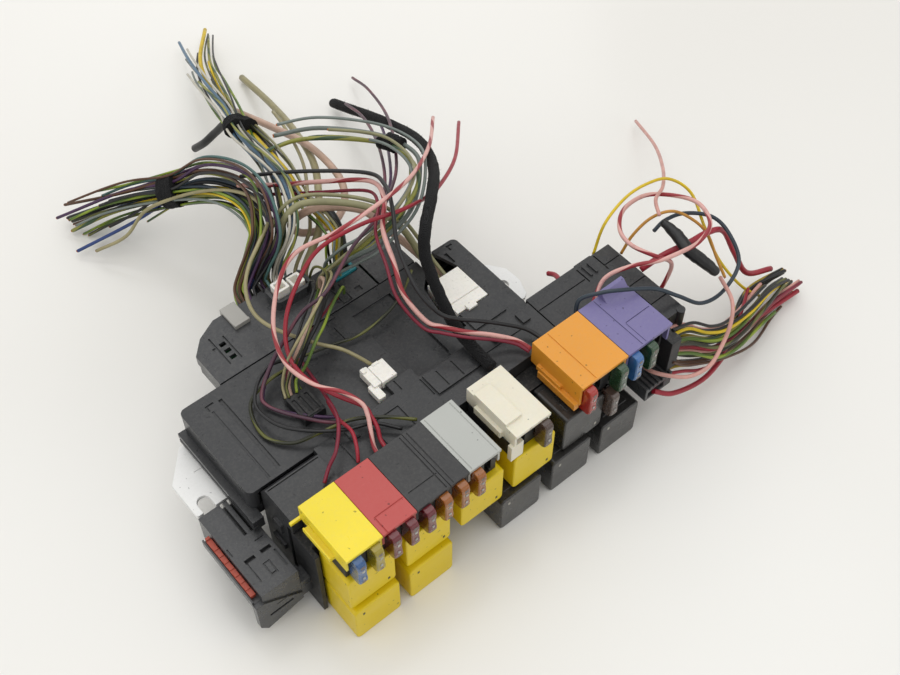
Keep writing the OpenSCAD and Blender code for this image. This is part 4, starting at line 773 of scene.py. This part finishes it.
def three_strands(name, line, pts, r):
    parts = []
    for k in range(3):
        strand = []
        for i, (p, (_, a, b)) in enumerate(zip(pts, frames(pts))):
            w = TURN / 3 * k + 3.0 * i / len(pts)
            strand.append(p + (a * math.cos(w) + b * math.sin(w)) * r * 0.5)
        parts.append(tube_data(strand, r * 0.46, sides=8))
        note_cut(line, strand[-1] + (line[-1] - pts[-1]), r * 0.46)
    return tubes("cord_" + name, parts, ["wire_" + c for c in STRANDS[name]])


def sleeve_radius(t):
    """Shrink sleeve that bulges over its splice and is drawn in at its ends."""
    return (2.6 + 1.4 * math.sin(math.pi * min(1, t * 1.08)) ** 0.6) * MM


def draw_wire(name, d, colour, line):
    """The object for one route."""
    if name == "sleeve":
        return tube("cord_sleeve", line, sleeve_radius, "shrink", sides=24, taped=True)
    r = d / 2 * MM
    if colour == "tape":
        return tube("cord_" + name, line, r, "tape", sides=18, taped=True)
    if name in STRANDS:
        return three_strands(name, line, cut_back(line, 0.8 * MM), r)
    # drawn a little thinner than the CAD solid, and thin wires more so than thick ones
    r_drawn = r * (0.88 if d < 3.5 else 0.97)
    if name in UNSEEN_END:
        return tube("cord_" + name, line, r_drawn, "wire_" + colour)
    note_cut(line, line[-1], r)
    return tube("cord_" + name, cut_back(line, 0.8 * MM), r_drawn, "wire_" + colour)


for _name, _d, _colour, _stiffness, _length, _route in ROUTES:
    _line = [T(*q) for q in spline(_route)]
    LINES[_name] = _line
    ALL_WIRES.append((_line, _d / 2 * MM, _name))
    _wire = draw_wire(_name, _d, _colour, _line)
    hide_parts("wires_left" if _name in LEFT else "wires_right")


# ---- more thin wires that run beside the main ones ----
# start of the names of the wires that they follow, their number, colours and range of diameters in mm
EXTRA = [("left_green", 10, ["green_lime", "yellow", "green_lime", "olive", "green_lime", "grey",
                             "green_lime", "yellow", "brown", "green_lime"], (1.3, 1.8)),
         ("left_", 19, ["ink", "green_dark", "brown", "navy", "ink", "grey", "olive", "violet", "ink",
                        "teal", "brown", "navy", "green_lime", "slate", "brown", "olive",
                        "ink", "green_dark", "violet"], (1.3, 1.9)),
         ("fan_", 16, ["grey", "green_lime", "white", "ink", "grey", "green_dark", "olive_pale", "brown",
                       "blue_pale", "yellow", "olive", "grey", "green_lime", "ink", "white", "olive"],
          (1.2, 1.7)),
         ("right_", 9, ["ink", "olive", "green_lime", "ink", "brown", "red", "pink", "black_yellow", "ink"],
          (1.6, 2.2)),
         ("short_", 4, ["olive_pale", "green_dark", "grey", "grey"], (1.6, 2.2)),
         ("bunch_", 6, ["beige", "green_lime", "ink", "wine", "olive", "green_lime"], (1.3, 1.7)),
         ("cable_olive", 1, ["beige"], (2.0, 2.4)),
         ("purple_a", 1, ["violet"], (1.8, 2.2)),
         ("pair_pink", 1, ["wine"], (1.8, 2.2)),
         ("conn_olive", 1, ["olive_pale"], (2.0, 2.4))]
RADIUS = {name: r for _, r, name in ALL_WIRES}
TRIES = 14
ANGLE = 6.28      # range of a random angle
EDGE = 0.2 * MM   # room kept inside the box and between a thin wire and the wire that it follows


def clamp_in(p, r):
    """The place moved inside the CAD box with room for a radius."""
    return Vector(min(max(c, BOX_LO[i] + r + EDGE), BOX_HI[i] - r - EDGE) for i, c in enumerate(p))


def gap_to_others(line, r):
    """The smallest gap to another wire, where each counts with the mean of its closest third."""
    worst = 1.0
    a = np.array([tuple(p) for p in line[::3]])
    for other, r2, _ in ALL_WIRES:
        b = np.array([tuple(p) for p in other[::2]])
        d = np.sqrt(((a[:, None, :] - b[None, :, :]) ** 2).sum(2)).min(1) - r - r2
        worst = min(worst, float(np.sort(d)[: max(1, len(d) // 3)].mean()))
    return worst


def line_beside(base, base_r, r, whole):
    """A wavy line that follows the base wire at a random side and distance."""
    w0, spin, off = random.uniform(0, ANGLE), random.uniform(-1.2, 1.2), random.uniform(0.3, 2.2)
    grow, phase = random.uniform(0.0, 4.0), random.uniform(0, ANGLE)
    share = 1.0 if whole else random.uniform(0.8, 1.0)
    line = []
    for i, (p, (_, a, b)) in enumerate(list(zip(base, frames(base)))[:max(8, int(len(base) * share))]):
        s = i / (len(base) - 1)
        w = w0 + spin * s * 2 + 0.5 * math.sin(5 * s + phase)
        far = base_r + r + (off + grow * s ** 2 + 0.7 * math.sin(9 * s + phase)) * MM
        far = max(far, base_r + r + EDGE)
        line.append(clamp_in(p + (a * math.cos(w) + b * math.sin(w)) * far, r))
    return line


for _prefix, _count, _colours, (_d_lo, _d_hi) in EXTRA:
    _bases = [name for name in LINES if name.startswith(_prefix)]
    _whole = _prefix == "bunch_"
    for _k in range(_count):
        _base = _bases[_k % len(_bases)]
        _r = random.uniform(_d_lo, _d_hi) / 2 * MM
        _tried = [line_beside(LINES[_base], RADIUS[_base], _r, _whole) for _ in range(TRIES)]
        _line = max(_tried, key=lambda line: gap_to_others(line, _r))
        ALL_WIRES.append((_line, _r, _prefix))
        _wire = tube(f"thin_{_prefix.strip('_')}_{_k:02d}", cut_back(_line, 0.7 * MM), _r,
                     "wire_" + _colours[_k % len(_colours)], sides=8)
        if not _whole:
            note_cut(_line, _line[-1], _r)


# ---- bare copper at the cut ends ----
def copper_strands():
    """Six fine strands round a seventh in every cut end."""
    bm = bmesh.new()
    for tip, along, r in CORES:
        a = along.orthogonal().normalized()
        b = along.cross(a)
        ring = [a * math.cos(TURN / 6 * k) + b * math.sin(TURN / 6 * k) for k in range(6)]
        for out in ring + [Vector()]:
            off = out * r * 0.42
            back = tip - along * 2.2 * MM + off
            front = tip + off * 1.05 - along * random.uniform(0, 0.35) * MM
            near, far = ([bm.verts.new(end + d * r * 0.22) for d in ring] for end in (back, front))
            for k in range(6):
                k2 = (k + 1) % 6
                bm.faces.new((near[k], near[k2], far[k2], far[k]))
            bm.faces.new(far)
    finish_mesh("copper_strands", bm, ["copper"], "panel")


copper_strands()


# ---- cloth tape wound round the bundles ----
def wrap(name, group, at, length, extra, within):
    """Tape wound round the wires of a group where they pass nearest to the place at."""
    near = []
    for line, r, wire in ALL_WIRES:
        if wire.startswith(group):
            i = min(range(len(line)), key=lambda j: (line[j] - at).length)
            if (line[i] - at).length < within * MM:
                near.append((line, i, r))
    axis = Vector()
    for line, i, _ in near:
        t = (line[min(i + 2, len(line) - 1)] - line[max(i - 2, 0)]).normalized()
        axis += t if t.dot(axis) >= 0 else -t
    axis.normalize()
    centre = sum((line[i] for line, i, _ in near), Vector()) / len(near)
    side = axis.cross(Vector((0, 0, 1))).normalized()
    up = side.cross(axis)
    rings, sides = 15, 36
    verts = []
    for j in range(rings):
        s = (j / (rings - 1) - 0.5) * length * MM
        c = centre + axis * s
        spots = []
        for line, _, r in near:
            q = min(line, key=lambda p: abs((p - c).dot(axis)) + 0.3 * (p - c).length) - c
            spots.append((q.dot(side), q.dot(up), r))
        for k in range(sides):
            w = TURN * k / sides
            reach = max(x * math.cos(w) + y * math.sin(w) + r for x, y, r in spots)
            # overlapping turns of tape, a little uneven
            turn = (j * 0.9 + k / sides * 2.0) % 3.0
            uneven = 0.25 * (turn < 1.4) + 0.5 * noise.noise(Vector((w * 2, s * 300, 3.0)))
            reach = max(reach, 1.2 * MM) + (extra + uneven) * MM
            shift = axis * 0.6 * MM * noise.noise(Vector((w, s * 500, 9.0)))
            verts.append(clamp_in(c + (side * math.cos(w) + up * math.sin(w)) * reach + shift, 0.0))
    round_mesh(name, verts, tube_faces(rings, sides), ["tape"])


wrap("tape_left", "left_", T(76, 280, 46), 13, 0.2, 10)
wrap("tape_fan", "fan_", T(129, 280, 68), 9, 0.2, 9)
wrap("tape_short", ("short_green", "short_grey"), T(181, 197, 84), 12, 0.4, 9)


# ---- loose fibres on the cloth tape ----
def tape_fibres(line):
    """Short thin threads that stand off the taped cable, more of them at its frayed end."""
    bm = bmesh.new()
    for spots, count in ((line, 900), (line[-6:], 160)):
        across = frames(spots)
        for _ in range(count):
            j = random.randrange(len(spots) - 1)
            p = spots[j].lerp(spots[j + 1], random.random())
            t, a, b = across[j]
            w = random.uniform(0, TURN)
            out = a * math.cos(w) + b * math.sin(w)
            root = p + out * 2.9 * MM
            lean = (out + t * random.uniform(-1.5, 1.5) + a * random.uniform(-0.5, 0.5)).normalized()
            tip = clamp_in(root + lean * random.uniform(0.8, 2.0) * MM, 0.0)
            wide = lean.cross(t).normalized() * 0.11 * MM
            bm.faces.new([bm.verts.new(q) for q in (root - wide, root + wide, tip)])
    finish_mesh("tape_fibres", bm, ["tape"], "panel")


tape_fibres(LINES["cable_taped"])


# ---- stage ----
def make_floor(size):
    s = size / 2
    me = bpy.data.meshes.new("floor")
    me.from_pydata([(-s, -s, 0), (s, -s, 0), (s, s, 0), (-s, s, 0)], [], [(0, 1, 2, 3)])
    n = Nodes("floor_white")
    n.surface(Base_Color=n.mix(n.ramp(n.noise(1.2, 2), 0.35, 0.65), srgb("#e9e7e2"), srgb("#efeeea")),
              Roughness=n.ramp(n.noise(5, 3), 0.3, 0.7, 0.16, 0.24), IOR=1.45)
    me.materials.append(n.m)
    return link(bpy.data.objects.new("floor", me))


floor = make_floor(6.0)


def area(name, at, size, power):
    """A soft light that faces the middle of the part."""
    d = bpy.data.lights.new(name, "AREA")
    d.shape, d.size, d.size_y = "RECTANGLE", size[0], size[1]
    d.energy = power
    o = link(bpy.data.objects.new(name, d))
    o.location = at
    o.rotation_mode = "QUATERNION"
    o.rotation_quaternion = (Vector((0, 0.02, 0.03)) - Vector(at)).to_track_quat("-Z", "Y")


area("tent_top", (0.05, 0.10, 1.5), (1.7, 1.7), 10)
area("tent_back", (0.6, 1.3, 0.9), (1.4, 0.9), 4)
area("tent_left", (-1.4, 0.2, 0.8), (1.0, 1.2), 3)
area("tent_front", (0.7, -1.2, 0.7), (1.4, 0.8), 3)
world = bpy.data.worlds.new("tent")
bpy.context.scene.world = world
world.use_nodes = True
world.node_tree.nodes["Background"].inputs["Color"].default_value = (1.0, 0.995, 0.98, 1)
world.node_tree.nodes["Background"].inputs["Strength"].default_value = 0.60
bpy.context.scene.view_settings.view_transform = "Standard"
